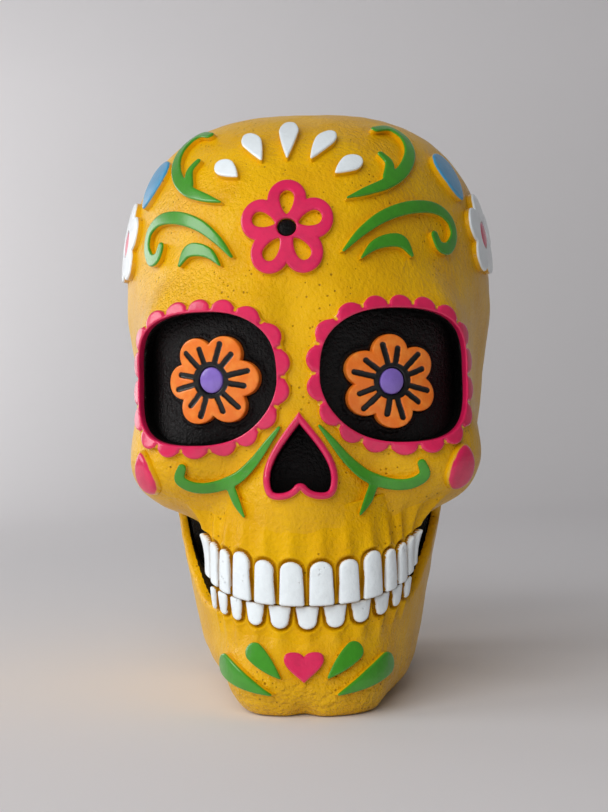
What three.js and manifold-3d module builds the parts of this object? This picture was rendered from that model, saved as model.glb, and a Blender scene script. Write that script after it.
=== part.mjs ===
// Day of the dead skull ornament: a hollow cast skull with painted relief pieces seated on its surface.
// Millimetres, +Z up, the face looks towards -Y, and the origin lies under the middle of the base.
// Left and right are as the viewer sees them, so left is -X.

import * as THREE from "three";
import { mergeVertices } from "three/addons/utils/BufferGeometryUtils.js";
import Module from "manifold-3d";

const wasm = await Module();
wasm.setup();

// Clearances
const GAP = 0.35; // between a seated piece and what carries it
const CHIN_GAP = 0.5; // on the chin, which curves more tightly than its facets follow
const TOOTH_GAP = 0.75; // between the upper teeth's strip and the gum
const RELIEF = 2; // height of the raised ornament
const FACET_TURN = 0.045; // radians, so that no facet edge lies just on the mirror plane

// Braincase
const BRAINCASE_HALF_WIDTH = 66.5;
const BRAINCASE_HALF_LENGTH = 78;
const BRAINCASE_HALF_HEIGHT = 69;
const BRAINCASE_Y = 6;
const BRAINCASE_Z = 131;
const BRAINCASE_SQUARENESS = 2.75; // exponent across the front view
const BRAINCASE_ROUNDNESS = 2.2; // exponent along the length
const FOREHEAD_TAPER = 0.17; // share of the width lost from the ears to the forehead
const TEMPLE_TAPER = 0.045; // share lost from the braincase's middle down to the eyes
const FOREHEAD_Y = -75;
const EARS_Y = 15;
const SHELL_WALL = 9;
const CAVITY_SETBACK = 10; // how far the hollow sits behind the braincase centre

// Face
const FACE_HALF_SIZE = [56, 45, 36];
const FACE_CENTRE = [0, -27, 100];
const FACE_SQUARENESS = 2.5;
const FACE_BLEND = 26;
const BROW_INNER = [14, -62, 124];
const BROW_OUTER = [40, -52, 122];
const BROW_RADIUS = 7.5;
const BROW_BLEND = 14;
const CHEEKBONE_HALF_SIZE = [18, 23, 14];
const CHEEKBONE_CENTRE = [38, -44, 77];
const CHEEKBONE_BLEND = 18;
const TEMPLE_DENT_HALF_SIZE = [14, 24, 22];
const TEMPLE_DENT_CENTRE = [75, -28, 108];
const TEMPLE_DENT_BLEND = 16;

// Nose
const MUZZLE_TOP = [0, -62, 106];
const MUZZLE_BOTTOM = [0, -62, 74];
const MUZZLE_TOP_RADIUS = 11;
const MUZZLE_BOTTOM_RADIUS = 17;
const MUZZLE_BLEND = 12;
const NOSE_Z = 79;
const NOSE_HALF_WIDTH = 11.8;
const NOSE_RISE = 15.4; // from the nose centre up to the outer tip of the rim
const NOSE_DROP = 12; // from the nose centre down to the lobes
const NOSE_NOTCH = 9.1; // from the nose centre down to the notch between the lobes
const NOSE_RIM_WIDTH = 2.4;
const NOSE_DEPTH = 9;
const NOSE_PLATE = 2;

// Upper jaw and teeth
const ARCH_X = 1.2; // the rows of teeth sit a little to the right
const ARCH_Y = -33;
const ARCH_HALF_WIDTH = 33.3;
const ARCH_HALF_LENGTH = 44.5;
const ARCH_SQUARENESS = 2.5;
const ARCH_REAR_TAPER = 5; // how much narrower the upper jaw is behind the teeth
const UPPER_JAW_TOP_Z = 68;
const UPPER_JAW_BLEND = 13;
const UPPER_JAW_SHOULDER = 18; // softness of its top, where it runs into the face
const UPPER_JAW_EDGE = 5; // softness of its lower edge
const BITE_Z = 34.5; // where the rows of teeth meet, at the middle
const SMILE_RISE = 6; // how much higher they meet at the corners of the mouth
const SMILE_ANGLE = 48; // degrees round the arch to the corners of the mouth
const SMILE_LIMIT = 1.6; // how many times that rise the last teeth may reach
const UPPER_TOOTH_HEIGHT = 13.5;
const LOWER_TOOTH_HEIGHT = 7;
const MOLAR_SHORTER = 0.2; // share of its height that a tooth at the corner of the mouth loses
const MOLAR_ANGLE = 65;
const TOOTH_SPACE = 1.7; // degrees of arch between two teeth
const TOOTH_RELIEF = 2.6;
const TOOTH_STRIP = 1.1; // thickness of the strip that carries a row
const STRIP_BEHIND = 0.4; // how far the strip's face lies behind the teeth's backs
// Degrees of arch per tooth, from the middle outwards; the lower row has one more in the middle
const UPPER_TOOTH_ANGLES = {
  left: [11.3, 10, 10.3, 8.5, 8.5, 9.5],
  right: [11.3, 10, 10.3, 8.5, 8.5, 8, 7],
};
const LOWER_TOOTH_ANGLES = {
  left: [10.8, 9.7, 7.6, 7, 5],
  right: [11.2, 10.7, 9.6, 8.2, 7],
};
const LOWER_MIDDLE_ANGLE = 11.2;

// Lower jaw
const JAW_Y = -8;
const JAW_HALF_LENGTH = 68;
const JAW_HALF_WIDTH = 36.4; // at the chin
const JAW_FLARE = 9.5; // how much wider it is on each side at the top
const JAW_SQUARENESS = 2.5;
const JAW_FLARE_START_Z = 12;
const JAW_FLARE_END_Z = 60;
const JAW_TOP_Z = 66;
const JAW_WALL = 3.6;
const JAW_BASE_WALL = 15;
const JAW_FLOOR_Z = 7; // top of the closed floor between its sides
const JAW_REAR_Y = 8;
const JAW_BASE_ROUNDING = { left: 26, right: 16 };
const ROUNDING_SPREAD = 25; // from the middle to where each side has its own rounding
const JAW_BASE_FLAT = 1.5; // how far the rounding is cut off to stand on
const RAMUS_FRONT_Y = -26;
const CORNER_Y = -58; // where the gum has risen to the corners of the mouth
const NOTCH_Y = -38; // the low point between the gum and the ramus
const RAMUS_FOOT = 20; // height of the bend between the notch and the ramus's front edge
const RAMUS_TUCK = 3; // how far that bend reaches forwards
const JAW_ANGLE_SETBACK = 12; // how far forwards the rear edge swings at the base
const RAMUS_OVERCUT = 4; // how far the side outline runs on above the jaw's top
const CHIN_HALF_SIZE = [12.5, 10, 9.5];
const CHIN_CENTRE = [8, -67.5, 9.5];
const CHIN_BLEND = 16;

// Neck and base
const NECK_HALF_WIDTH = 30;
const NECK_FRONT_Y = -4;
const NECK_REAR_Y = 54;
const NECK_HEIGHT = 80;
const NECK_WAIST = 0.12; // share of its girth that the neck loses half-way up
const NECK_BORE = 19;
const BACKING_FRONT_Y = -30; // the black sides of the mouth start behind the last teeth
const BACKING_BELOW = 3; // how far they end below the jaw's top

// Eyes
const EYE_X = 31.5;
const EYE_Z = 105.1;
const EYE_YAW = 25; // degrees that each socket is turned outwards
const EYE_HALF_WIDTH = 26;
const EYE_HALF_HEIGHT = 20.6;
const EYE_SQUARENESS = 0.77; // power on the outline's sine and cosine
const EYE_CORNER_SQUARENESS = 1; // in the rounder corner by the nose
const EYE_DEPTH = 4.5;
const EYE_PLATE = 2;
const EYE_RIM_WIDTH = 2.4;
const SCALLOP_COUNT = 18;
const SCALLOP_HEIGHT = 2;
const EYE_FLOWER_RADIUS = 14.8;
const EYE_FLOWER_STRETCH = 1.1; // how much wider than tall it is
const EYE_FLOWER_INWARDS = { left: 2.4, right: 1.4 }; // from the socket's middle, towards the nose
const EYE_FLOWER_BELOW = { left: 0.4, right: 1.9 };
const EYE_FLOWER_EYE = 4.1;
const EYE_FLOWER_TURN = { left: 2, right: 34 }; // degrees to the first petal

// Forehead
const FOREHEAD_SHIFT = -3; // the flower, the drops and the upper scrolls sit a little to the left
// The side scrolls and brow leaves sit to the left too, and the left-hand ones are shorter and lower
const SIDE_SHIFT = { left: -1.9, right: -1 };
const SIDE_SPAN = { left: 0.93, right: 1 };
const SIDE_BELOW = { left: 1.2, right: 0 };
const FLOWER_Z = 151.5;
const FLOWER_RADIUS = 15;
const FLOWER_STRETCH = 1.14; // how much taller than wide it is
const FLOWER_EYE = 2.9;
const FLOWER_OPENING_WIDTH = 4.4;
const FLOWER_OPENING_OUTER = 12;
const FLOWER_OPENING_INNER = 6.4;
const DROP_FAN_Z = 160.1;
const DROP_FAN_RADIUS = 22.8;
const DROP_FAN_STEP = 29; // degrees between the crown drops
const DROP_LENGTH = 22.3; // of the middle one
const DROP_SHORTER = 5.4; // for each step from the middle one
const DROP_WIDTH = 6.8;
const DROP_LEAN = 0.72; // times the fan angle, because the crown slopes back

// Temples
const TEMPLE_FLOWER_AZIMUTH = 73;
const TEMPLE_FLOWER_Z = 154.5;
const TEMPLE_FLOWER_RADIUS = 15;
const TEMPLE_FLOWER_EYE = 4.6;
const TEMPLE_PETAL_PLACE = [26.3, 3]; // outwards and up from the upper scroll's place

// Places of the mirrored strokes, as [x, z] on the front of the right-hand side
const UPPER_SCROLL_PLACE = [33, 172.5];
const SIDE_SCROLL_PLACE = [36, 153];
const BROW_LEAF_PLACE = [30, 145.5];
const CHEEK_SCROLL_PLACE = [24.4, 76];
const CHEEK_DROP_PLACE = [49.5, 75.5];
const CHIN_LEAF_INNER_PLACE = [12, 17.5];
const CHIN_LEAF_OUTER_PLACE = [19, 12.5];

// Their spines, from the blunt or first end, as [across, up] from the place
const UPPER_SCROLL = [
  [2.8, 19], [9.5, 20.5], [12.8, 15.5], [10.9, 7.5], [4.3, -1], [-4.3, -7], [-13.8, -10.2], [-20, -11.5],
];
const UPPER_SCROLL_HOOK = [[-2.5, 5], [-1, 0.8], [-4.5, -6]];
const SIDE_SCROLL = [
  [-25.5, -8.2], [-19, -2.5], [-10, 2.7], [2, 6.2], [14, 7], [21.5, 4],
  [22.5, -1.5], [17, -6.5], [11.5, -4.5],
];
const BROW_LEAF = [[-11.5, -3.8], [-6.5, 0.2], [-0.5, 2], [4.5, 1.6], [7.5, -2.4]];
const CHEEK_SCROLL = [
  [-19.4, 15], [-15.4, 10], [-10.4, 3.8], [-4.2, -1.7], [3.2, -4.7], [9.5, -4.6], [13.7, -1.8], [12.8, 2],
];
const CHEEK_SCROLL_BRANCH = [[-1.5, -3], [-4, -8.4], [-7, -12.6]];
const TEMPLE_PETAL = [[-3.5, 8.5], [0, 0], [2.5, -8.5]];
const CHEEK_DROP = [[0, -7.5], [0.5, 0], [2, 7]];
const CHIN_LEAF_INNER = [[5.8, 4.8], [1.4, 1.1], [-5.3, -4.7]];
const CHIN_LEAF_OUTER = [[12.2, 4.2], [4, 1.6], [-10, -4.4]];

// Their widths
const WIDE_STROKE = 4.5; // a wider stroke has a middle line, so that it follows the surface
const UPPER_SCROLL_WIDTH = 4.4;
const UPPER_SCROLL_HOOK_WIDTH = 3.4;
const SIDE_SCROLL_WIDTH = 4;
const BROW_LEAF_WIDTH = 5;
const CHEEK_SCROLL_WIDTH = 3.4;
const CHEEK_SCROLL_BRANCH_WIDTH = 3.2;
const TEMPLE_PETAL_WIDTH = 13.5;
const CHEEK_DROP_WIDTH = { left: 10.5, right: 12.5 };
const CHIN_LEAF_INNER_WIDTH = 6;
const CHIN_LEAF_OUTER_WIDTH = 7;

// Chin heart
const HEART_Z = 16;
const HEART_HALF_WIDTH = 6.2;
const HEART_RISE = 4;
const HEART_DROP = 5.4;
const HEART_NOTCH = 2.4;

const PAINT = {
  yellow: { color: 0xebc22a, roughness: 0.4 },
  black: { color: 0x14120e, roughness: 0.35 },
  pink: { color: 0xd5275c, roughness: 0.4 },
  white: { color: 0xe4eef2, roughness: 0.35 },
  green: { color: 0x4baa32, roughness: 0.4 },
  blue: { color: 0x52acd8, roughness: 0.4 },
  orange: { color: 0xeb7828, roughness: 0.4 },
  purple: { color: 0x9079c8, roughness: 0.4 },
};

const skull = new THREE.Group();
const SIDES = { left: -1, right: 1 };
const { abs, acos, atan2, cos, hypot, max, min, round, sign, sin, sqrt, PI } = Math;
const degrees = THREE.MathUtils.degToRad;

// Smooth forms: each gives the rough signed distance from a point to a surface, negative inside

function smoothMin(a, b, blend) {
  const h = max(blend - abs(a - b), 0) / blend;
  return min(a, b) - (h * h * blend) / 4;
}

function smoothMax(a, b, blend) {
  return -smoothMin(-a, -b, blend);
}

function fade(from, to, t) {
  const s = min(max((t - from) / (to - from), 0), 1);
  return s * s * (3 - 2 * s);
}

function ellipsoid(x, y, z, [rx, ry, rz]) {
  const reach = hypot(x / rx, y / ry, z / rz);
  const slope = hypot(x / rx ** 2, y / ry ** 2, z / rz ** 2);
  return slope < 1e-9 ? -min(rx, ry, rz) : (reach * (reach - 1)) / slope;
}

// A rounded block, with exponent n across the front view and exponent m along the length
function block(x, y, z, [rx, ry, rz], n, m) {
  const a = abs(x) / rx;
  const b = abs(y) / ry;
  const c = abs(z) / rz;
  const across = max((a ** n + c ** n) ** (1 / n), 1e-6);
  const reach = (across ** m + b ** m) ** (1 / m);
  const slopeAcross = hypot((a / across) ** (n - 1) / rx, (c / across) ** (n - 1) / rz);
  return (reach - 1) / hypot((across / reach) ** (m - 1) * slopeAcross, (b / reach) ** (m - 1) / ry);
}

// The plan of an arch seen from above: a superellipse
function arch(x, y, rx, ry, n) {
  const a = abs(x) / rx;
  const b = abs(y) / ry;
  const reach = max((a ** n + b ** n) ** (1 / n), 1e-6);
  return (reach - 1) / hypot((a / reach) ** (n - 1) / rx, (b / reach) ** (n - 1) / ry);
}

function capsule(x, y, z, from, to, radiusFrom, radiusTo) {
  const axis = to.map((value, i) => value - from[i]);
  const offset = [x - from[0], y - from[1], z - from[2]];
  const along = offset[0] * axis[0] + offset[1] * axis[1] + offset[2] * axis[2];
  const t = min(max(along / (axis[0] ** 2 + axis[1] ** 2 + axis[2] ** 2), 0), 1);
  const radius = radiusFrom + (radiusTo - radiusFrom) * t;
  return hypot(offset[0] - axis[0] * t, offset[1] - axis[1] * t, offset[2] - axis[2] * t) - radius;
}

// The distance from the mirror plane, without a crease at the middle
function mirror(x, softness) {
  return sqrt(x * x + softness * softness);
}

function craniumForm(x, y, z) {
  const half = mirror(x, 2.5);
  const narrow = (1 - FOREHEAD_TAPER * fade(EARS_Y, FOREHEAD_Y, y))
    * (1 - TEMPLE_TAPER * fade(BRAINCASE_Z, EYE_Z, z));
  const braincaseSize = [BRAINCASE_HALF_WIDTH, BRAINCASE_HALF_LENGTH, BRAINCASE_HALF_HEIGHT];
  let d = block(x / narrow, y - BRAINCASE_Y, z - BRAINCASE_Z,
    braincaseSize, BRAINCASE_SQUARENESS, BRAINCASE_ROUNDNESS);
  const face = block(x - FACE_CENTRE[0], y - FACE_CENTRE[1], z - FACE_CENTRE[2],
    FACE_HALF_SIZE, FACE_SQUARENESS, FACE_SQUARENESS);
  d = smoothMin(d, face, FACE_BLEND);
  d = smoothMin(d, capsule(half, y, z, BROW_INNER, BROW_OUTER, BROW_RADIUS, BROW_RADIUS), BROW_BLEND);
  const cheekbone = ellipsoid(half - CHEEKBONE_CENTRE[0], y - CHEEKBONE_CENTRE[1], z - CHEEKBONE_CENTRE[2],
    CHEEKBONE_HALF_SIZE);
  d = smoothMin(d, cheekbone, CHEEKBONE_BLEND);
  const muzzle = capsule(x, y, z, MUZZLE_TOP, MUZZLE_BOTTOM, MUZZLE_TOP_RADIUS, MUZZLE_BOTTOM_RADIUS);
  d = smoothMin(d, muzzle, MUZZLE_BLEND);
  d = smoothMin(d, upperJawForm(x, y, z), UPPER_JAW_BLEND);
  const dent = ellipsoid(half - TEMPLE_DENT_CENTRE[0], y - TEMPLE_DENT_CENTRE[1], z - TEMPLE_DENT_CENTRE[2],
    TEMPLE_DENT_HALF_SIZE);
  return smoothMax(d, -dent, TEMPLE_DENT_BLEND);
}

function upperJawForm(x, y, z) {
  const halfWidth = ARCH_HALF_WIDTH - ARCH_REAR_TAPER * fade(NOTCH_Y, RAMUS_FRONT_Y, y);
  const plan = arch(x - ARCH_X, y - ARCH_Y, halfWidth, ARCH_HALF_LENGTH, ARCH_SQUARENESS);
  const corner = ARCH_HALF_WIDTH * sin(degrees(SMILE_ANGLE));
  const underside = BITE_Z + 1 + SMILE_RISE * min(((x - ARCH_X) / corner) ** 2, 1.4);
  return smoothMax(smoothMax(plan, underside - z, UPPER_JAW_EDGE), z - UPPER_JAW_TOP_Z, UPPER_JAW_SHOULDER);
}

// The skull with its upper arch carried on downwards, so that the upper teeth hang straight
function upperGumForm(x, y, z) {
  const plan = arch(x - ARCH_X, y - ARCH_Y, ARCH_HALF_WIDTH, ARCH_HALF_LENGTH, ARCH_SQUARENESS);
  return min(craniumForm(x, y, z), plan);
}

function jawPlan(x, y, z) {
  const up = (z - JAW_FLARE_START_Z) / (JAW_FLARE_END_Z - JAW_FLARE_START_Z);
  const halfWidth = JAW_HALF_WIDTH + JAW_FLARE * min(max(up, -0.2), 1.1);
  return arch(x, y - JAW_Y, halfWidth, JAW_HALF_LENGTH, JAW_SQUARENESS);
}

function jawForm(x, y, z) {
  const toRight = fade(-ROUNDING_SPREAD, ROUNDING_SPREAD, x);
  const rounding = THREE.MathUtils.lerp(JAW_BASE_ROUNDING.left, JAW_BASE_ROUNDING.right, toRight);
  const rounded = smoothMax(jawPlan(x, y, z), -JAW_BASE_FLAT - z, rounding);
  const half = mirror(x, 4);
  const chin = ellipsoid(half - CHIN_CENTRE[0], y - CHIN_CENTRE[1], z - CHIN_CENTRE[2], CHIN_HALF_SIZE);
  return smoothMin(rounded, chin, CHIN_BLEND);
}

// Height at which the teeth meet, at an angle round the dental arch
function biteHeight(angle) {
  return BITE_Z + SMILE_RISE * min((angle / degrees(SMILE_ANGLE)) ** 2, SMILE_LIMIT);
}

// Solids

function closedGeometry(geometry) {
  const bare = geometry.clone();
  bare.deleteAttribute("normal");
  bare.deleteAttribute("uv");
  const merged = mergeVertices(bare, 1e-4);
  const kept = [];
  for (let i = 0; i < merged.index.count; i += 3) {
    const corner = [0, 1, 2].map((k) => merged.index.getX(i + k));
    if (new Set(corner).size === 3) kept.push(...corner);
  }
  merged.setIndex(kept);
  return merged;
}

function solidOf(geometry) {
  const closed = closedGeometry(geometry);
  const vertProperties = new Float32Array(closed.attributes.position.array);
  const triVerts = new Uint32Array(closed.index.array);
  return new wasm.Manifold(new wasm.Mesh({ numProp: 3, vertProperties, triVerts }));
}

function geometryOf(solid) {
  const mesh = solid.getMesh();
  const geometry = new THREE.BufferGeometry();
  geometry.setAttribute("position", new THREE.BufferAttribute(mesh.vertProperties, 3));
  geometry.setIndex(new THREE.BufferAttribute(mesh.triVerts, 1));
  geometry.computeVertexNormals();
  return geometry;
}

function addPiece(name, solid, paint) {
  const mesh = new THREE.Mesh(geometryOf(solid), new THREE.MeshStandardMaterial(PAINT[paint]));
  mesh.name = name;
  skull.add(mesh);
}

// A solid with every vertex of a geometry moved to its place
function reshape(geometry, place) {
  const closed = closedGeometry(geometry);
  const position = closed.attributes.position;
  for (let i = 0; i < position.count; i++) {
    const moved = place(position.getX(i), position.getY(i), position.getZ(i));
    position.setXYZ(i, moved.x, moved.y, moved.z);
  }
  return solidOf(closed);
}

// A box between two corners
function boxSolid(low, high) {
  const size = high.map((value, i) => value - low[i]);
  const geometry = new THREE.BoxGeometry(...size);
  return solidOf(geometry.translate(...low.map((value, i) => value + size[i] / 2)));
}

// The point on a ray, from outside towards inside, where a form first falls to a level
function meet(form, start, direction, level, reach) {
  const value = (t) => {
    const x = start.x + direction.x * t;
    const y = start.y + direction.y * t;
    const z = start.z + direction.z * t;
    return form(x, y, z) - level;
  };
  let outside = 0;
  let inside = 0;
  while (inside < reach && value(inside) > 0) {
    outside = inside;
    inside += 1;
  }
  for (let i = 0; i < 26; i++) {
    const middle = (outside + inside) / 2;
    if (value(middle) > 0) outside = middle;
    else inside = middle;
  }
  return start.clone().addScaledVector(direction, inside);
}

// Seats: frames on a form's surface, u to the viewer's right, v upwards, n outwards

function seatAt(form, origin, yaw) {
  const step = 0.5;
  const { x, y, z } = origin;
  const n = new THREE.Vector3(
    form(x + step, y, z) - form(x - step, y, z),
    form(x, y + step, z) - form(x, y - step, z),
    form(x, y, z + step) - form(x, y, z - step));
  if (yaw !== undefined) n.set(sin(yaw), -cos(yaw), 0);
  n.normalize();
  const v = new THREE.Vector3(0, 0, 1).addScaledVector(n, -n.z).normalize();
  const u = v.clone().cross(n);
  return { form, origin, u, v, n };
}

function frontSeat(form, x, z, yaw) {
  const start = new THREE.Vector3(x, FOREHEAD_Y - BRAINCASE_HALF_LENGTH, z);
  return seatAt(form, meet(form, start, new THREE.Vector3(0, 1, 0), 0, 3 * BRAINCASE_HALF_LENGTH), yaw);
}

function sideSeat(azimuth, z) {
  const outwards = new THREE.Vector3(sin(azimuth), -cos(azimuth), 0);
  const start = new THREE.Vector3(0, BRAINCASE_Y, z).addScaledVector(outwards, 2 * BRAINCASE_HALF_LENGTH);
  return seatAt(craniumForm, meet(craniumForm, start, outwards.negate(), 0, 2 * BRAINCASE_HALF_LENGTH));
}

// A seat on the same form, under a point in another seat's plane
function besideSeat(seat, u, v) {
  const start = seat.origin.clone().addScaledVector(seat.u, u).addScaledVector(seat.v, v);
  start.addScaledVector(seat.n, EYE_HALF_WIDTH);
  return seatAt(seat.form, meet(seat.form, start, seat.n.clone().negate(), 0, 3 * EYE_HALF_WIDTH));
}

// Lays a flat slab (u, v, 0 to 1) on a seat, between two heights above the form
function wrap(slab, seat, low, high) {
  const inwards = seat.n.clone().negate();
  return reshape(slab, (u, v, h) => {
    const start = seat.origin.clone().addScaledVector(seat.u, u).addScaledVector(seat.v, v);
    start.addScaledVector(seat.n, EYE_HALF_WIDTH);
    return meet(seat.form, start, inwards, low + (high - low) * h, 3 * EYE_HALF_WIDTH);
  });
}

// Stands a flat slab on a seat's own plane, between two heights
function stand(slab, seat, low, high) {
  return reshape(slab, (u, v, h) => seat.origin.clone().addScaledVector(seat.u, u)
    .addScaledVector(seat.v, v).addScaledVector(seat.n, low + (high - low) * h));
}

// Lays a slab round a dental arch: u is the angle in degrees, v the height above the bite
function wrapArch(slab, form, low, high) {
  return reshape(slab, (u, v, h) => {
    const angle = degrees(u);
    const outwards = new THREE.Vector3(sin(angle), -cos(angle), 0);
    const start = new THREE.Vector3(ARCH_X, ARCH_Y, biteHeight(angle) + v);
    start.addScaledVector(outwards, 2 * ARCH_HALF_LENGTH);
    return meet(form, start, outwards.negate(), low + (high - low) * h, 2 * ARCH_HALF_LENGTH);
  });
}

// Flat slabs

// Width along a stroke, as a share of its full width
const PROFILE = {
  leaf: (s) => max(sin(PI * s) ** 0.8, 0.1),
  drop: (s) => {
    const head = 0.32; // share of the length up to the widest place
    const width = s < head ? sqrt(1 - (1 - s / head) ** 2) : cos(((s - head) / (1 - head)) * (PI / 2));
    return max(width, 0.1);
  },
  scroll: (s) => max(sin(PI * min(0.12 + 0.88 * s, 1)) ** 0.7, 0.14),
  band: () => 1,
  tooth: (s) => (s < 0.55 ? 0.9 + 0.18 * s : max(sqrt(1 - ((s - 0.55) / 0.47) ** 2), 0.3)),
};

// A brush stroke along a curve, with its width shaped by a profile
function stroke(points, width, profile, steps, strips = 1) {
  const curve = new THREE.SplineCurve(points.map(([u, v]) => new THREE.Vector2(u, v)));
  const slab = new THREE.BoxGeometry(1, 1, 1, steps, strips, 1).translate(0.5, 0, 0.5);
  const position = slab.attributes.position;
  for (let i = 0; i < position.count; i++) {
    const s = (1 - cos(PI * position.getX(i))) / 2;
    const centre = curve.getPoint(s);
    const along = curve.getTangent(s);
    const side = position.getY(i) * width * PROFILE[profile](s);
    position.setXY(i, centre.x - along.y * side, centre.y + along.x * side);
  }
  return slab;
}

// A slab between an inner outline and an outer one, with rows of vertices between them so that it
// can follow a curved surface
function ring(outer, inner, rows) {
  const steps = Array.from({ length: rows + 1 }, (_, i) => 1 + i / rows);
  const under = steps.map((r) => new THREE.Vector2(r, 0));
  const over = steps.map((r) => new THREE.Vector2(r, 1)).reverse();
  const between = (corner, r) => inner[corner].clone().lerp(outer[corner], r - 1);
  return turned([...under, ...over, under[0]], outer, between);
}

// A full slab inside an outline that its centre sees all of
function disc(outline, rows) {
  const steps = Array.from({ length: rows + 1 }, (_, i) => i / rows);
  const under = steps.map((r) => new THREE.Vector2(r, 0));
  const over = steps.map((r) => new THREE.Vector2(r, 1)).reverse();
  return turned([...under, ...over], outline, (corner, r) => outline[corner].clone().multiplyScalar(r));
}

// A profile turned round a centre, with each vertex then moved to its place by corner and radius
function turned(profile, outline, placeAt) {
  const slab = new THREE.LatheGeometry(profile, outline.length);
  const position = slab.attributes.position;
  for (let i = 0; i < position.count; i++) {
    const turn = atan2(position.getX(i), position.getZ(i)) / (2 * PI);
    const corner = (round(turn * outline.length) + outline.length) % outline.length;
    const point = placeAt(corner, hypot(position.getX(i), position.getZ(i)));
    position.setXYZ(i, point.x, point.y, position.getY(i));
  }
  return slab;
}

// An outline from a formula that gives the point at each angle
function outlineOf(count, pointAt) {
  return Array.from({ length: count }, (_, i) => new THREE.Vector2(...pointAt((2 * PI * i) / count)));
}

function grown(outline, distance) {
  return outline.map((point, i) => {
    const before = outline[(i + outline.length - 1) % outline.length];
    const after = outline[(i + 1) % outline.length];
    const along = after.clone().sub(before).normalize();
    return new THREE.Vector2(point.x + along.y * distance, point.y - along.x * distance);
  });
}

function circle(radius, count) {
  return outlineOf(count, (t) => [radius * cos(t), radius * sin(t)]);
}

// A flower with rounded petals, the first one at a start angle
function flowerOutline(radius, petals, start, perPetal) {
  return outlineOf(petals * perPetal, (t) => {
    const petal = abs(cos(((t - degrees(start)) * petals) / 2));
    const r = radius * (0.66 + 0.34 * petal ** 0.55);
    return [r * cos(t), r * sin(t)];
  });
}

// A rounded, squarish socket with evenly spaced points
function eyeOutline(count, hand) {
  const fine = outlineOf(144, (t) => {
    const byNose = hand * cos(t) < 0 && sin(t) < 0;
    const power = byNose ? EYE_CORNER_SQUARENESS : EYE_SQUARENESS;
    const across = EYE_HALF_WIDTH * sign(cos(t)) * abs(cos(t)) ** power;
    return [across, EYE_HALF_HEIGHT * sign(sin(t)) * abs(sin(t)) ** power];
  });
  return new THREE.Path([...fine, fine[0]]).getSpacedPoints(count).slice(0, -1);
}

// A heart with its point down
function heartOutline(halfWidth, rise, drop, notch, count) {
  const shape = new THREE.Shape();
  shape.moveTo(0, -drop);
  shape.bezierCurveTo(halfWidth * 0.35, -drop * 0.62, halfWidth, -drop * 0.15, halfWidth, rise * 0.42);
  shape.bezierCurveTo(halfWidth, rise * 0.9, halfWidth * 0.8, rise, halfWidth * 0.55, rise);
  shape.bezierCurveTo(halfWidth * 0.3, rise, halfWidth * 0.1, rise * 0.9, 0, notch);
  shape.bezierCurveTo(-halfWidth * 0.1, rise * 0.9, -halfWidth * 0.3, rise, -halfWidth * 0.55, rise);
  shape.bezierCurveTo(-halfWidth * 0.8, rise, -halfWidth, rise * 0.9, -halfWidth, rise * 0.42);
  shape.bezierCurveTo(-halfWidth, -drop * 0.15, -halfWidth * 0.35, -drop * 0.62, 0, -drop);
  return shape.getSpacedPoints(count).slice(0, -1);
}

// Skull

// The skull's outer surface, found along rays from inside, with finer facets towards the face
function craniumBody(level) {
  const centre = new THREE.Vector3(0, 0, (BRAINCASE_Z + FACE_CENTRE[2]) / 2);
  const reach = 2 * BRAINCASE_HALF_LENGTH;
  return reshape(new THREE.SphereGeometry(1, 48, 32).rotateY(FACET_TURN), (x, y, z) => {
    const fromFace = acos(min(max(-y, -1), 1));
    const angle = fromFace * (0.62 + (0.38 * fromFace) / PI);
    const radius = hypot(x, z);
    const spread = radius < 1e-6 ? 0 : sin(angle) / radius;
    const outwards = new THREE.Vector3(x * spread, -cos(angle), z * spread);
    const start = centre.clone().addScaledVector(outwards, reach);
    return meet(craniumForm, start, outwards.negate(), level, reach);
  });
}

const neckMiddleY = (NECK_FRONT_Y + NECK_REAR_Y) / 2;

// A neck with a slight waist, from the base up into the braincase, grown by a clearance
function neckColumn(clearance) {
  const halfWidth = NECK_HALF_WIDTH + clearance;
  const halfLength = (NECK_REAR_Y - NECK_FRONT_Y) / 2 + clearance;
  return reshape(new THREE.CylinderGeometry(1, 1, 1, 36, 5), (x, y, z) => {
    const up = y + 0.5;
    const girth = 1 - NECK_WAIST * sin(PI * up);
    const across = x * girth * halfWidth;
    return new THREE.Vector3(across, neckMiddleY - z * girth * halfLength, up * NECK_HEIGHT);
  });
}

function braincaseHollow() {
  const halfLength = BRAINCASE_HALF_LENGTH - SHELL_WALL - CAVITY_SETBACK;
  const ball = new THREE.SphereGeometry(1, 20, 12).rotateY(2 * FACET_TURN);
  return reshape(ball, (x, y, z) => new THREE.Vector3(
    x * (BRAINCASE_HALF_WIDTH - SHELL_WALL),
    BRAINCASE_Y + CAVITY_SETBACK - z * halfLength,
    BRAINCASE_Z + y * (BRAINCASE_HALF_HEIGHT - SHELL_WALL)));
}

// From below the base up into the hollow
function neckBore() {
  const bore = new THREE.CylinderGeometry(NECK_BORE, NECK_BORE, 2 * BRAINCASE_Z, 28).rotateX(PI / 2);
  return solidOf(bore.translate(0, neckMiddleY, 0));
}

const noseHeart = heartOutline(NOSE_HALF_WIDTH, NOSE_DROP, NOSE_RISE, NOSE_NOTCH, 46);
const noseOuter = noseHeart.map((point) => point.clone().negate()); // its point is up
const noseInner = grown(noseOuter, -NOSE_RIM_WIDTH);
const noseSeat = frontSeat(craniumForm, 0, NOSE_Z);
const eyeSeats = {
  left: frontSeat(craniumForm, -EYE_X, EYE_Z, -degrees(EYE_YAW)),
  right: frontSeat(craniumForm, EYE_X, EYE_Z, degrees(EYE_YAW)),
};

function eyePocket(side) {
  const slab = disc(grown(eyeOutline(36, SIDES[side]), GAP), 3);
  return wrap(slab, eyeSeats[side], -EYE_DEPTH - EYE_PLATE - GAP, SHELL_WALL);
}

function nosePocket() {
  return stand(disc(grown(noseInner, GAP), 1), noseSeat, -NOSE_DEPTH - NOSE_PLATE - GAP, SHELL_WALL);
}

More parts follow.
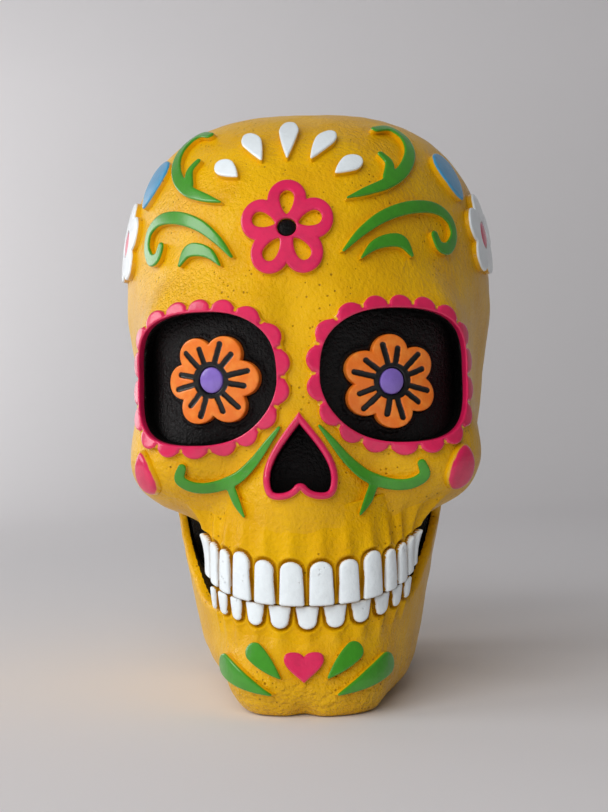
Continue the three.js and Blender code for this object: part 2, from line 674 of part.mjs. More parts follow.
const shell = craniumBody(0).add(neckColumn(0)).subtract(braincaseHollow()).subtract(neckBore())
  .subtract(eyePocket("left")).subtract(eyePocket("right")).subtract(nosePocket());
addPiece("cranium_shell", shell, "yellow");

// Lower jaw, and the black block behind the teeth

// A stack of level outlines, found along level rays from the jaw's axis
function jawLoft(form, levelAt, low, high, rows) {
  return reshape(new THREE.CylinderGeometry(1, 1, 1, 48, rows).rotateY(FACET_TURN), (x, y, z) => {
    const height = low + (high - low) * (y + 0.5) ** 1.6;
    const middle = new THREE.Vector3(0, JAW_Y, height);
    const radius = hypot(x, z);
    if (radius < 1e-6) return middle;
    const outwards = new THREE.Vector3(x / radius, -z / radius, 0);
    const start = middle.clone().addScaledVector(outwards, 1.5 * JAW_HALF_LENGTH);
    return meet(form, start, outwards.negate(), levelAt(height), 1.5 * JAW_HALF_LENGTH);
  });
}

function jawWallAt(z) {
  return JAW_WALL + (JAW_BASE_WALL - JAW_WALL) * fade(BITE_Z, JAW_FLARE_START_Z, z);
}

// The lower jaw seen from the side, carried across its whole width
function jawSide(rise) {
  const gum = BITE_Z - LOWER_TOOTH_HEIGHT + rise;
  const front = JAW_Y - 1.2 * JAW_HALF_LENGTH;
  const chin = JAW_Y - JAW_HALF_LENGTH;
  const halfWidth = JAW_HALF_WIDTH + 2 * JAW_FLARE;
  const shape = new THREE.Shape();
  shape.moveTo(front, -1);
  shape.lineTo(front, gum);
  shape.lineTo(chin, gum);
  shape.quadraticCurveTo((chin + CORNER_Y) / 2, gum + 1, CORNER_Y, gum + 0.8 * SMILE_RISE);
  shape.quadraticCurveTo((CORNER_Y + NOTCH_Y) / 2, gum + SMILE_RISE, NOTCH_Y, gum + 1);
  shape.quadraticCurveTo(RAMUS_FRONT_Y - RAMUS_TUCK, gum + 2, RAMUS_FRONT_Y - 1, gum + RAMUS_FOOT);
  shape.lineTo(RAMUS_FRONT_Y + 1, JAW_TOP_Z + RAMUS_OVERCUT);
  shape.lineTo(JAW_REAR_Y, JAW_TOP_Z + RAMUS_OVERCUT);
  shape.quadraticCurveTo(JAW_REAR_Y + 2, gum, JAW_REAR_Y - JAW_ANGLE_SETBACK, -1);
  const slab = new THREE.ExtrudeGeometry(shape, { depth: 1, bevelEnabled: false, curveSegments: 6 });
  return reshape(slab, (y, z, across) => new THREE.Vector3((2 * across - 1) * halfWidth, y, z));
}

const clearOfCranium = craniumBody(GAP);
const jawOuter = jawLoft(jawForm, () => 0, 0, JAW_TOP_Z, 12);
const jawInner = jawLoft(jawPlan, (z) => -jawWallAt(z), JAW_FLOOR_Z, JAW_TOP_Z + SHELL_WALL, 8);
const mandible = jawOuter.subtract(jawInner).intersect(jawSide(0)).subtract(clearOfCranium)
  .subtract(neckColumn(GAP));
addPiece("mandible", mandible, "yellow");

const jawReach = JAW_HALF_WIDTH + 2 * JAW_FLARE;
const mouthRoom = boxSolid(
  [-jawReach, JAW_Y - JAW_HALF_LENGTH, JAW_FLOOR_Z + GAP],
  [jawReach, NECK_FRONT_Y - GAP, JAW_TOP_Z - BACKING_BELOW]);
const teethRoom = boxSolid(
  [-jawReach, JAW_Y - JAW_HALF_LENGTH - 1, BITE_Z - LOWER_TOOTH_HEIGHT - 1],
  [jawReach, BACKING_FRONT_Y, JAW_TOP_Z]);
const mouthBacking = jawLoft(jawPlan, (z) => -jawWallAt(z) - GAP, JAW_FLOOR_Z, JAW_TOP_Z + SHELL_WALL, 8)
  .intersect(mouthRoom).subtract(teethRoom).subtract(clearOfCranium);
addPiece("mouth_backing", mouthBacking, "black");

// Teeth

// Angles at which each tooth starts and ends, outwards from an edge, on both sides
function toothSpans(angles, from) {
  return Object.entries(SIDES).flatMap(([side, hand]) => {
    let edge = from;
    return angles[side].map((angle) => {
      edge += angle;
      return hand > 0 ? [edge - angle, edge] : [-edge, angle - edge];
    });
  });
}

// One tooth: a short stroke from its biting edge to its gum, in degrees across and millimetres up
function tooth([from, to], edge, height, form, low) {
  const middle = (from + to) / 2;
  const shorter = 1 - MOLAR_SHORTER * (middle / MOLAR_ANGLE) ** 2;
  const spine = [[middle, edge], [middle, edge + height * shorter]];
  return wrapArch(stroke(spine, to - from - TOOTH_SPACE, "tooth", 4), form, low, low + TOOTH_RELIEF);
}

// A row of teeth on the strip that carries them
function toothRow(spans, edge, height, form, low) {
  const first = min(...spans.flat()) + TOOTH_SPACE;
  const last = max(...spans.flat()) - TOOTH_SPACE;
  const middle = edge + height * 0.45;
  const strip = stroke([[first, middle], [last, middle]], abs(height) * 0.5, "band", 20);
  const back = low - STRIP_BEHIND;
  let row = wrapArch(strip, form, back, back + TOOTH_STRIP);
  for (const span of spans) row = row.add(tooth(span, edge, height, form, low));
  return row;
}

const upperSpans = toothSpans(UPPER_TOOTH_ANGLES, 0);
const upperLow = TOOTH_GAP + STRIP_BEHIND;
addPiece("upper_teeth", toothRow(upperSpans, GAP / 2, UPPER_TOOTH_HEIGHT, upperGumForm, upperLow), "white");

const halfMiddle = LOWER_MIDDLE_ANGLE / 2;
const lowerSpans = [...toothSpans(LOWER_TOOTH_ANGLES, halfMiddle), [-halfMiddle, halfMiddle]];
const lowerRow = toothRow(lowerSpans, -GAP / 2, -LOWER_TOOTH_HEIGHT, jawPlan, -JAW_WALL);
addPiece("lower_teeth", lowerRow.subtract(jawSide(GAP)), "white");

// Eyes

function eyeRim(hand) {
  const inner = grown(eyeOutline(SCALLOP_COUNT * 4, hand), GAP);
  const outer = grown(inner, EYE_RIM_WIDTH).map((point, i) => {
    const bump = SCALLOP_HEIGHT * abs(sin((PI * i) / 4)) ** 0.7;
    return point.setLength(point.length() + bump);
  });
  return ring(outer, inner, 2);
}

for (const [side, hand] of Object.entries(SIDES)) {
  const seat = eyeSeats[side];
  const plate = wrap(disc(eyeOutline(36, hand), 3), seat, -EYE_DEPTH - EYE_PLATE, -EYE_DEPTH);
  addPiece(`eye_plate_${side}`, plate, "black");
  addPiece(`eye_scallop_rim_${side}`, wrap(eyeRim(hand), seat, GAP, GAP + RELIEF), "pink");

  const low = GAP - EYE_DEPTH;
  const petals = flowerOutline(EYE_FLOWER_RADIUS, 6, EYE_FLOWER_TURN[side], 6)
    .map(({ x, y }) => new THREE.Vector2(x * EYE_FLOWER_STRETCH, y));
  const middle = [-hand * EYE_FLOWER_INWARDS[side], -EYE_FLOWER_BELOW[side], 0];
  const flower = ring(petals, circle(EYE_FLOWER_EYE + GAP, petals.length), 2).translate(...middle);
  addPiece(`eye_flower_${side}`, wrap(flower, seat, low, low + RELIEF), "orange");
  const centre = disc(circle(EYE_FLOWER_EYE, 16), 2).translate(...middle);
  addPiece(`eye_flower_centre_${side}`, wrap(centre, seat, low, low + RELIEF), "purple");
}

// Nose

const nasalRim = ring(noseOuter, grown(noseInner, GAP), 2);
const nasalPlate = stand(disc(noseInner, 1), noseSeat, -NOSE_DEPTH - NOSE_PLATE, -NOSE_DEPTH);
addPiece("nasal_plate", nasalPlate, "black");
addPiece("nasal_rim", wrap(nasalRim, noseSeat, GAP, GAP + RELIEF), "pink");

// Forehead flower, with a drop-shaped opening in each petal

function foreheadFlower(seat) {
  const petals = flowerOutline(FLOWER_RADIUS, 5, 90, 8)
    .map(({ x, y }) => new THREE.Vector2(x, y * FLOWER_STRETCH));
  let flower = wrap(ring(petals, circle(FLOWER_EYE + GAP, petals.length), 2), seat, GAP, GAP + RELIEF);
  for (let i = 0; i < 5; i++) {
    const angle = degrees(91 + 72 * i);
    const spine = [FLOWER_OPENING_OUTER, FLOWER_OPENING_INNER]
      .map((r) => [r * cos(angle), r * sin(angle) * FLOWER_STRETCH]);
    const opening = wrap(stroke(spine, FLOWER_OPENING_WIDTH, "drop", 5), seat, -RELIEF, GAP + 2 * RELIEF);
    flower = flower.subtract(opening);
  }
  return flower;
}

const flowerSeat = frontSeat(craniumForm, FOREHEAD_SHIFT, FLOWER_Z);
addPiece("forehead_flower", foreheadFlower(flowerSeat), "pink");
const flowerCentre = disc(circle(FLOWER_EYE, 14), 1);
addPiece("forehead_flower_centre", wrap(flowerCentre, flowerSeat, GAP, GAP + RELIEF), "black");

// Crown drops: a fan of five with their tips towards the forehead flower

for (let i = 0; i < 5; i++) {
  const place = i - 2;
  const angle = degrees(place * DROP_FAN_STEP);
  const x = FOREHEAD_SHIFT + DROP_FAN_RADIUS * sin(angle);
  const seat = frontSeat(craniumForm, x, DROP_FAN_Z + DROP_FAN_RADIUS * cos(angle));
  const length = DROP_LENGTH - DROP_SHORTER * abs(place);
  const lean = angle * DROP_LEAN;
  const spine = [0.5, -0.5].map((end) => [end * length * sin(lean), end * length * cos(lean)]);
  const drop = stroke(spine, DROP_WIDTH, "drop", 10, 2);
  addPiece(`crown_drop_${i + 1}`, wrap(drop, seat, GAP, GAP + RELIEF), "white");
}

// Strokes in mirrored pairs

function mirrored(points, hand) {
  return points.map(([u, v]) => [u * hand, v]);
}

function relief(points, width, profile, seat, hand, steps, low = GAP) {
  const strips = width > WIDE_STROKE ? 2 : 1;
  return wrap(stroke(mirrored(points, hand), width, profile, steps, strips), seat, low, low + RELIEF);
}

// A side branch: a little lower than the stroke that it grows from, so that the two join cleanly
function branch(points, width, seat, hand) {
  return wrap(stroke(mirrored(points, hand), width, "leaf", 8), seat, GAP + 0.15, GAP + RELIEF - 0.3);
}

function foreheadSeat([x, z], hand, shift, below = 0) {
  return frontSeat(craniumForm, shift + hand * x, z - below);
}

for (const [side, hand] of Object.entries(SIDES)) {
  const upperSeat = foreheadSeat(UPPER_SCROLL_PLACE, hand, FOREHEAD_SHIFT);
  const upperScroll = relief(UPPER_SCROLL, UPPER_SCROLL_WIDTH, "scroll", upperSeat, hand, 18);
  const hook = branch(UPPER_SCROLL_HOOK, UPPER_SCROLL_HOOK_WIDTH, upperSeat, hand);
  addPiece(`upper_scroll_${side}`, upperScroll.add(hook), "green");

  const span = hand * SIDE_SPAN[side];
  const scrollSeat = foreheadSeat(SIDE_SCROLL_PLACE, hand, SIDE_SHIFT[side], SIDE_BELOW[side]);
  const sideScroll = relief(SIDE_SCROLL, SIDE_SCROLL_WIDTH, "scroll", scrollSeat, span, 22);
  addPiece(`side_scroll_${side}`, sideScroll, "green");

  const browSeat = foreheadSeat(BROW_LEAF_PLACE, hand, SIDE_SHIFT[side], SIDE_BELOW[side]);
  addPiece(`brow_leaf_${side}`, relief(BROW_LEAF, BROW_LEAF_WIDTH, "leaf", browSeat, span, 12), "green");

  const scrollPlace = foreheadSeat(UPPER_SCROLL_PLACE, hand, 0);
  const petalSeat = besideSeat(scrollPlace, hand * TEMPLE_PETAL_PLACE[0], TEMPLE_PETAL_PLACE[1]);
  const petal = relief(TEMPLE_PETAL, TEMPLE_PETAL_WIDTH, "drop", petalSeat, hand, 10);
  addPiece(`temple_petal_${side}`, petal, "blue");

  const templeSeat = sideSeat(hand * degrees(TEMPLE_FLOWER_AZIMUTH), TEMPLE_FLOWER_Z);
  const petals = flowerOutline(TEMPLE_FLOWER_RADIUS, 5, 90, 6);
  const flower = ring(petals, circle(TEMPLE_FLOWER_EYE + GAP, petals.length), 2);
  const centre = disc(circle(TEMPLE_FLOWER_EYE, 16), 2);
  addPiece(`temple_flower_${side}`, wrap(flower, templeSeat, GAP, GAP + RELIEF), "white");
  addPiece(`temple_flower_centre_${side}`, wrap(centre, templeSeat, GAP, GAP + RELIEF), "pink");

  const cheekSeat = frontSeat(craniumForm, hand * CHEEK_SCROLL_PLACE[0], CHEEK_SCROLL_PLACE[1]);
  const cheekScroll = relief(CHEEK_SCROLL, CHEEK_SCROLL_WIDTH, "scroll", cheekSeat, hand, 18);
  const cheekBranch = branch(CHEEK_SCROLL_BRANCH, CHEEK_SCROLL_BRANCH_WIDTH, cheekSeat, hand);
  addPiece(`cheek_scroll_${side}`, cheekScroll.add(cheekBranch), "green");

  const dropSeat = frontSeat(craniumForm, hand * CHEEK_DROP_PLACE[0], CHEEK_DROP_PLACE[1]);
  const cheekDrop = relief(CHEEK_DROP, CHEEK_DROP_WIDTH[side], "drop", dropSeat, hand, 10);
  addPiece(`cheek_drop_${side}`, cheekDrop, "pink");

  const innerSeat = frontSeat(jawForm, hand * CHIN_LEAF_INNER_PLACE[0], CHIN_LEAF_INNER_PLACE[1]);
  const innerLeaf = relief(CHIN_LEAF_INNER, CHIN_LEAF_INNER_WIDTH, "drop", innerSeat, hand, 10, CHIN_GAP);
  addPiece(`chin_leaf_inner_${side}`, innerLeaf, "green");

  const outerSeat = frontSeat(jawForm, hand * CHIN_LEAF_OUTER_PLACE[0], CHIN_LEAF_OUTER_PLACE[1]);
  const outerLeaf = relief(CHIN_LEAF_OUTER, CHIN_LEAF_OUTER_WIDTH, "drop", outerSeat, hand, 12, CHIN_GAP);
  addPiece(`chin_leaf_outer_${side}`, outerLeaf, "green");
}

// Chin heart

const heartSeat = frontSeat(jawForm, 0, HEART_Z);
const heart = disc(heartOutline(HEART_HALF_WIDTH, HEART_RISE, HEART_DROP, HEART_NOTCH, 28), 2);
addPiece("chin_heart", wrap(heart, heartSeat, CHIN_GAP, CHIN_GAP + RELIEF), "pink");

export default skull;
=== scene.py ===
"""Looks of the day of the dead skull ornament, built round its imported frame.

The skull's form is the same set of smooth blends as in the part's source, with finer relief on it. It is
sampled on a grid and meshed, and each relief piece is a flat outline laid on that form. Lengths are in
millimetres until a mesh is made, and left and right are the viewer's.
"""

import math

import bpy
import numpy as np
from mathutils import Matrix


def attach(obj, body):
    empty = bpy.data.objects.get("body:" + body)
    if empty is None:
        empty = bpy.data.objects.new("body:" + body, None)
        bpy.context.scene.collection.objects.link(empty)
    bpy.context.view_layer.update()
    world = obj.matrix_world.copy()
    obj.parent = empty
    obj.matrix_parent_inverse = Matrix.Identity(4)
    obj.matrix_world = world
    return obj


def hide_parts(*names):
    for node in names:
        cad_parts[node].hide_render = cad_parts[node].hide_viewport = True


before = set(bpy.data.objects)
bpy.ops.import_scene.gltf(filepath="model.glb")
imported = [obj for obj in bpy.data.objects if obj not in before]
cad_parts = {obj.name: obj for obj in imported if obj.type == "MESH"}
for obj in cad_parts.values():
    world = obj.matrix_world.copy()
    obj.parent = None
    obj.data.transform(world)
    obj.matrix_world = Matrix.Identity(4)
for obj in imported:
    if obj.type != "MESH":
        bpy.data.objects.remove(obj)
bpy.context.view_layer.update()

import openvdb
from mathutils import Matrix, Vector

scene = bpy.context.scene

MM = 0.001
SIDES = {"left": -1, "right": 1}

# Cells of the grids that forms are sampled on
SKULL_VOXEL = 1.25
JAW_VOXEL = 0.9
TEETH_VOXEL = 0.36
RELIEF_VOXEL = 0.3
EYE_PLATE_VOXEL = 0.5
SKULL_BOX = np.array([(-72.0, -86, -4), (72, 90, 204)])
JAW_BOX = np.array([(-54.0, -86, -4), (54, 18, 74)])
BAND = 2.0  # of distances kept on the fine grids

# Braincase and face
BRAINCASE_HALF_SIZE = (66.5, 78.0, 69.0)
BRAINCASE_Y = 6.0
BRAINCASE_Z = 131.0
BRAINCASE_SQUARENESS = 2.75
BRAINCASE_ROUNDNESS = 2.2
FOREHEAD_TAPER = 0.17
FOREHEAD_Y = -75
EARS_Y = 15
TEMPLE_TAPER = 0.045
SHELL_WALL = 9.0
CAVITY_SETBACK = 10.0
MIDLINE_ROUNDING = 2.5
FACE = ((0, -27, 100), (56, 45, 36), 2.5, 2.5)  # centre, half size and powers of a block
FACE_BLEND = 26
BROW = ((14, -62, 124), (40, -52, 122), 7.5, 7.5)  # ends and radii of a capsule
BROW_BLEND = 14
BROW_VALLEY_DEPTH = 1.2
BROW_VALLEY_WIDTH = 5
CHEEKBONE = ((38, -44, 77), (18, 23, 14))  # centre and half size of an ellipsoid
CHEEKBONE_BLEND = 18
MUZZLE = ((0, -62, 106), (0, -62, 74), 11, 17)
MUZZLE_BLEND = 12
TEMPLE_DENT = ((75, -28, 108), (14, 24, 22))
TEMPLE_DENT_BLEND = 16
SWELL_HEIGHT = 0.13
EDGE_ROUNDING = 1.5

# Upper jaw and neck
ARCH_X = 1.2
ARCH_Y = -33.0
ARCH_HALF_WIDTH = 33.3
ARCH_HALF_LENGTH = 44.5
ARCH_SQUARENESS = 2.5
ARCH_REAR_TAPER = 5
UPPER_JAW_ABOVE_BITE = 1
UPPER_JAW_RISE_LIMIT = 1.4
UPPER_JAW_EDGE = 5
UPPER_JAW_TOP_Z = 68
UPPER_JAW_SHOULDER = 18
UPPER_JAW_BLEND = 13
BITE_Z = 34.5
SMILE_RISE = 6.0
SMILE_ANGLE = 48.0
SMILE_LIMIT = 1.6
NECK_HALF_WIDTH = 30.0
NECK_FRONT_Y = -4.0
NECK_REAR_Y = 54.0
NECK_MIDDLE_Y = (NECK_FRONT_Y + NECK_REAR_Y) / 2
NECK_HEIGHT = 80.0
NECK_INSIDE = 8  # within the skull
NECK_WAIST = 0.12
NECK_BORE = 19.0
NECK_BLEND = 9

# Lower jaw
JAW_Y = -8.0
JAW_HALF_LENGTH = 68.0
JAW_HALF_WIDTH = 36.4
JAW_SQUARENESS = 2.5
JAW_FLARE = 9.5
JAW_FLARE_START_Z = 12
JAW_FLARE_END_Z = 60
JAW_TOP_Z = 66.0
JAW_WALL = 3.6
JAW_BASE_WALL = 15.0
JAW_FLOOR_Z = 7.0
JAW_REAR_Y = 9.5
JAW_ANGLE_SETBACK = 11  # of the rear edge, at the base
JAW_BASE_ROUNDING = (26.0, 16.0)  # left and right
JAW_BASE_FLAT = 1.5
ROUNDING_SPREAD = 25.0
RAMUS_FRONT_Y = -26.0
RAMUS_BEND_Z = 58  # below it the front edge slopes forwards
RAMUS_SLOPE = 1.1
RAMUS_ABOVE = 3
CORNER_Y = -58.0
CORNER_RISE = 5.2
NOTCH_Y = -38.0
NOTCH_FALL = 1.5
CHIN = ((8, -67.5, 9.5), (12.5, 10, 9.5))
CHIN_MIDLINE_ROUNDING = 4
CHIN_BLEND = 16
CLEFT = (1.6, -0.5, 3.5)  # depth, place and width
NECK_GAP = 0.35
JAW_INTO_SKULL = 0.6

# Teeth: angles are degrees round the arch, from the middle outwards
ARC_STEP = 0.72  # mm of arch per degree, near enough
UPPER_TOOTH_HEIGHT = 13.5
LOWER_TOOTH_HEIGHT = 7.0
MOLAR_SHORTER = {"left": 0.02, "right": 0.2}
MOLAR_ANGLE = 65.0
CANINE_ANGLE = 26.5
CANINE_SPREAD = 4
CANINE_LONGER = 1.2
TOOTH_SPACE = 1.7
UPPER_TOOTH_ANGLES = {"left": (11.3, 10, 10.3, 8.5, 8.5, 9.5), "right": (11.3, 10, 10.3, 8.5, 8.5, 8, 7)}
LOWER_TOOTH_ANGLES = {"left": (10.8, 9.7, 7.6, 7, 5), "right": (11.2, 10.7, 9.6, 8.2, 7)}
LOWER_MIDDLE = 5.6  # half of the middle tooth
UPPER_ROOTS = 16
LOWER_ROOTS = 10
ROW_MARGIN = 1.5
STRIP_BACK = -2.4
TOOTH_BACK = -1.5
GROOVE = (0.9, 0, 0.55)  # depth, place from a tooth's edge and width
GUM_ROLL = (0.5, 1.35, 0.6)
ROW_END_FALL = 2.2

# Eyes and nose
EYE_X = 31.5
EYE_Z = 105.1
EYE_YAW = 25.0
EYE_HALF_WIDTH = 26.0
EYE_HALF_HEIGHT = 20.6
EYE_SQUARENESS = 2.6
EYE_CORNER_SQUARENESS = 2.0  # in the corner by the nose
EYE_DEPTH = 4.5
EYE_PLATE = 2.0
EYE_POCKET_REAR_Y = -25
SCALLOP_COUNT = 18
SCALLOP_RADIUS = 4.5
SCALLOP_VALLEY = (1.1, 0, 0.55)  # depth, place and width
EYE_RIM_OFFSET = 1.6  # from the socket's edge
EYE_RIM_HALF_WIDTH = 1.3
BEAD = (0.7, 0.8, 0.6)  # height, place from the flower's edge and width
EYE_FLOWER_PLACES = {"left": (2.4, 0.4, 2.0), "right": (1.4, 1.9, 34.0)}  # inwards, below and turn
EYE_FLOWER_STRETCH = 1.1
EYE_FLOWER_PETALS = (9.2, 5.6, 8.0)  # distance and radius of each, and the hub's radius
EYE_FLOWER_OPENING = 4.3
EYE_FLOWER_CENTRE = 4.1
EYE_INK_RING = 5.7
EYE_INK_HALF_WIDTH = 0.8
EYE_INK_STROKES = ((-13, 10.4), (11, 11.8))  # degrees from the petal's middle, and reach
NOSE_Z = 79.0
NOSE_HEART = (11.8, 12.0, 15.4, 9.1)  # upside down: half width, rise, fall and notch
NOSE_DEPTH = 9.0
NOSE_RIM_WIDTH = 2.4

# Raised ornament: places are (across, height) on the front, mirrored for the left side
RELIEF = 2.2
RELIEF_ROOT = 0.5  # its depth in its ground
FOREHEAD_SHIFT = -3.0
FLOWER_Z = 151.5
FLOWER_STRETCH = 1.14
FLOWER_PETALS = (8.9, 6.2, 8.8)
FLOWER_SLIT = (11.4, 4.4, 4.4)  # head and tip from the middle, and width
FLOWER_OPENING = 3.0
FLOWER_CENTRE = 2.9
DROP_FAN_Z = 160.1
DROP_FAN_RADIUS = 22.8
DROP_FAN_STEP = 29
DROP_COUNT = 5
DROP_LENGTH = 22.3
DROP_SHORTER = 5.4
DROP_WIDTH = 7.0
DROP_LEAN = 0.92
DROP_BLUNTNESS = 0.6
SIDE_LAYOUT = {"left": (-1.9, 0.93, 1.2), "right": (-1.0, 1.0, 0.0)}  # shift, span and fall
UPPER_SCROLL_PLACE = (33, 172.5)
SIDE_SCROLL_PLACE = (36, 153)
BROW_LEAF_PLACE = (30, 145.5)
CHEEK_SCROLL_PLACE = (24.4, 76)
CHEEK_DROP_PLACE = (49.5, 75.5)
CHIN_LEAF_INNER_PLACE = (12, 17.5)
CHIN_LEAF_OUTER_PLACE = (19, 12.5)
TEMPLE_PETAL_PLACE = (26.3, 3.0)  # from the upper scroll's place
TEMPLE_FLOWER_AZIMUTH = 73
TEMPLE_FLOWER_Z = 154.5
TEMPLE_FLOWER_PETALS = (8.8, 6.1, 8.5)
TEMPLE_FLOWER_OPENING = 4.8
TEMPLE_FLOWER_CENTRE = 4.6
HEART_Z = 16.5
HEART = (6.2, 4.0, 5.4, 2.4)

# Drops as head, tip and width, strokes as (across, up, half width), all from their places
TEMPLE_PETAL = ((-3.5, 8.5), (2.5, -8.5), 13)
CHEEK_DROP = {"left": ((0, -7.5), (2, 7), 10.5), "right": ((0, -7.5), (2, 7), 12.5)}
CHIN_LEAF_INNER = ((5.8, 4.8), (-5.3, -4.7), 6)
CHIN_LEAF_OUTER = ((12.2, 4.2), (-10, -4.4), 7)
UPPER_SCROLL = [(2.8, 19, 1.4), (9.5, 20.5, 1.6), (12.8, 15.5, 1.9), (10.9, 7.5, 2.1),
                (4.3, -1, 2.2), (-4.3, -7, 2.0), (-13.8, -10.2, 1.4), (-20, -11.5, 0.3)]
UPPER_HOOK = [(-2.5, 5, 1.1), (-1, 0.8, 1.6), (-4.0, -5, 1.7)]
SIDE_SCROLL = [(-25.5, -8.2, 0.4), (-19, -2.5, 1.4), (-10, 2.7, 2.0), (2, 6.2, 2.2), (14, 7, 2.1),
               (21.5, 4, 1.9), (22.5, -1.5, 1.9), (18, -6, 2.1), (13, -6, 2.0), (11.2, -2.6, 1.7)]
BROW_LEAF = [(-11.5, -3.8, 0.3), (-6.5, 0.2, 1.6), (-0.5, 2, 2.2), (4.5, 1.6, 2.2), (7.5, -2.4, 0.7)]
CHEEK_SCROLL = [(-19.4, 15, 0.5), (-15.4, 10, 1.1), (-10.4, 3.8, 1.5), (-4.2, -1.7, 1.8),
                (3.2, -4.7, 1.9), (9.5, -4.6, 1.9), (13.7, -1.8, 1.8), (12.8, 2, 1.4)]
CHEEK_BRANCH = [(-1.5, -3, 1.4), (-4, -8.4, 1.5), (-7, -12.6, 0.4)]

# Rays that find a form's surface
CLEAR = 150.0  # from the middle, outside every form
SEAT_LIFT = 30.0
MARCH_STEPS, MARCH_SHARE, MARCH_LEAST = 60, 0.7, 0.02
HALVINGS = 24

# Camera in the photograph's pixels, lamps as (place, aim, size, power) in metres and watts
PICTURE_HEIGHT = 812
CAMERA_FOCAL = 1406
CAMERA_SENSOR = 36
CAMERA_AZIMUTH = 2.6
CAMERA_ROLL = -1.2
CAMERA_DISTANCE = 510
CAMERA_TARGET = (-2.0, 0, 96)
LAMPS = {
    "window": ((-1.12, -0.2, 0.58), (0, 0, 0.1), 0.6, 4.0),
    "side_window": ((-1.0, 0.62, 0.32), (0, 0, 0.1), 0.42, 1.3),
    "front_fill": ((-0.5, -1.08, 0.76), (0, 0, 0.1), 1.4, 15.4),
    "backdrop_light": ((-0.75, 0.85, 0.3), (-0.1, 1.2, 0.2), 0.5, 1.2),
}
ROOM_STRENGTH = 0.12
FLOOR_HALF_WIDTH = 9.0
FLOOR_FRONT_Y = -3.0
FLOOR_BEND_Y = 0.7
FLOOR_BEND_RADIUS = 0.5
BACKDROP_TOP_Z = 2.5


# Smooth forms: distances to a surface, below zero inside

def smooth_min(a, b, blend):
    h = np.maximum(blend - np.abs(a - b), 0) / blend
    return np.minimum(a, b) - h * h * blend / 4


def smooth_max(a, b, blend):
    return -smooth_min(-a, -b, blend)


def fade(start, end, t):
    s = np.clip((t - start) / (end - start), 0, 1)
    return s * s * (3 - 2 * s)


def ridge(d, height, place, width):
    """A rounded ridge where d comes to a place."""
    return height * np.exp(-((d - place) / width) ** 2)


def ellipsoid(x, y, z, centre, size):
    x, y, z = x - centre[0], y - centre[1], z - centre[2]
    rx, ry, rz = size
    reach = np.sqrt((x / rx) ** 2 + (y / ry) ** 2 + (z / rz) ** 2)
    slope = np.sqrt((x / rx**2) ** 2 + (y / ry**2) ** 2 + (z / rz**2) ** 2)
    return reach * (reach - 1) / np.maximum(slope, 1e-6)


def block(x, y, z, centre, size, n, m):
    """A rounded block with power n across the front view and power m along its length."""
    a, b, c = (np.abs(p - q) / s for p, q, s in zip((x, y, z), centre, size))
    across = np.maximum((a**n + c**n) ** (1 / n), 1e-6)
    reach = np.maximum((across**m + b**m) ** (1 / m), 1e-6)
    slope = np.hypot((a / across) ** (n - 1) / size[0], (c / across) ** (n - 1) / size[2])
    return (reach - 1) / np.hypot((across / reach) ** (m - 1) * slope, (b / reach) ** (m - 1) / size[1])


def arch(x, y, rx, ry, n):
    a, b = np.abs(x) / rx, np.abs(y) / ry
    reach = np.maximum((a**n + b**n) ** (1 / n), 1e-6)
    return (reach - 1) / np.hypot((a / reach) ** (n - 1) / rx, (b / reach) ** (n - 1) / ry)


def capsule(x, y, z, start, end, r0, r1):
    ax, ay, az = (e - s for s, e in zip(start, end))
    ox, oy, oz = x - start[0], y - start[1], z - start[2]
    t = np.clip((ox * ax + oy * ay + oz * az) / (ax * ax + ay * ay + az * az), 0, 1)
    return np.sqrt((ox - ax * t) ** 2 + (oy - ay * t) ** 2 + (oz - az * t) ** 2) - (r0 + (r1 - r0) * t)


def tooth_arch(x, y, half_width=ARCH_HALF_WIDTH):
    return arch(x - ARCH_X, y - ARCH_Y, half_width, ARCH_HALF_LENGTH, ARCH_SQUARENESS)


def upper_jaw(x, y, z):
    plan = tooth_arch(x, y, ARCH_HALF_WIDTH - ARCH_REAR_TAPER * fade(NOTCH_Y, RAMUS_FRONT_Y, y))
    corner = ARCH_HALF_WIDTH * math.sin(math.radians(SMILE_ANGLE))
    rise = SMILE_RISE * np.minimum(((x - ARCH_X) / corner) ** 2, UPPER_JAW_RISE_LIMIT)
    underside = BITE_Z + UPPER_JAW_ABOVE_BITE + rise
    return smooth_max(smooth_max(plan, underside - z, UPPER_JAW_EDGE), z - UPPER_JAW_TOP_Z,
                      UPPER_JAW_SHOULDER)


def cranium(x, y, z):
    half = np.sqrt(x * x + MIDLINE_ROUNDING**2)
    narrow = (1 - FOREHEAD_TAPER * fade(EARS_Y, FOREHEAD_Y, y)) * (
        1 - TEMPLE_TAPER * fade(BRAINCASE_Z, EYE_Z, z))
    d = block(x / narrow, y, z, (0, BRAINCASE_Y, BRAINCASE_Z), BRAINCASE_HALF_SIZE,
              BRAINCASE_SQUARENESS, BRAINCASE_ROUNDNESS)
    d = smooth_min(d, block(x, y, z, *FACE), FACE_BLEND)
    d = smooth_min(d, capsule(half, y, z, *BROW), BROW_BLEND)
    d = smooth_min(d, ellipsoid(half, y, z, *CHEEKBONE), CHEEKBONE_BLEND)
    d = smooth_min(d, capsule(x, y, z, *MUZZLE), MUZZLE_BLEND)
    d = smooth_min(d, upper_jaw(x, y, z), UPPER_JAW_BLEND)
    return smooth_max(d, -ellipsoid(half, y, z, *TEMPLE_DENT), TEMPLE_DENT_BLEND)


def upper_gum(x, y, z):
    return np.minimum(cranium(x, y, z), tooth_arch(x, y))


def jaw_plan(x, y, z):
    up = np.clip((z - JAW_FLARE_START_Z) / (JAW_FLARE_END_Z - JAW_FLARE_START_Z), -0.2, 1.1)
    return arch(x, y - JAW_Y, JAW_HALF_WIDTH + JAW_FLARE * up, JAW_HALF_LENGTH, JAW_SQUARENESS)


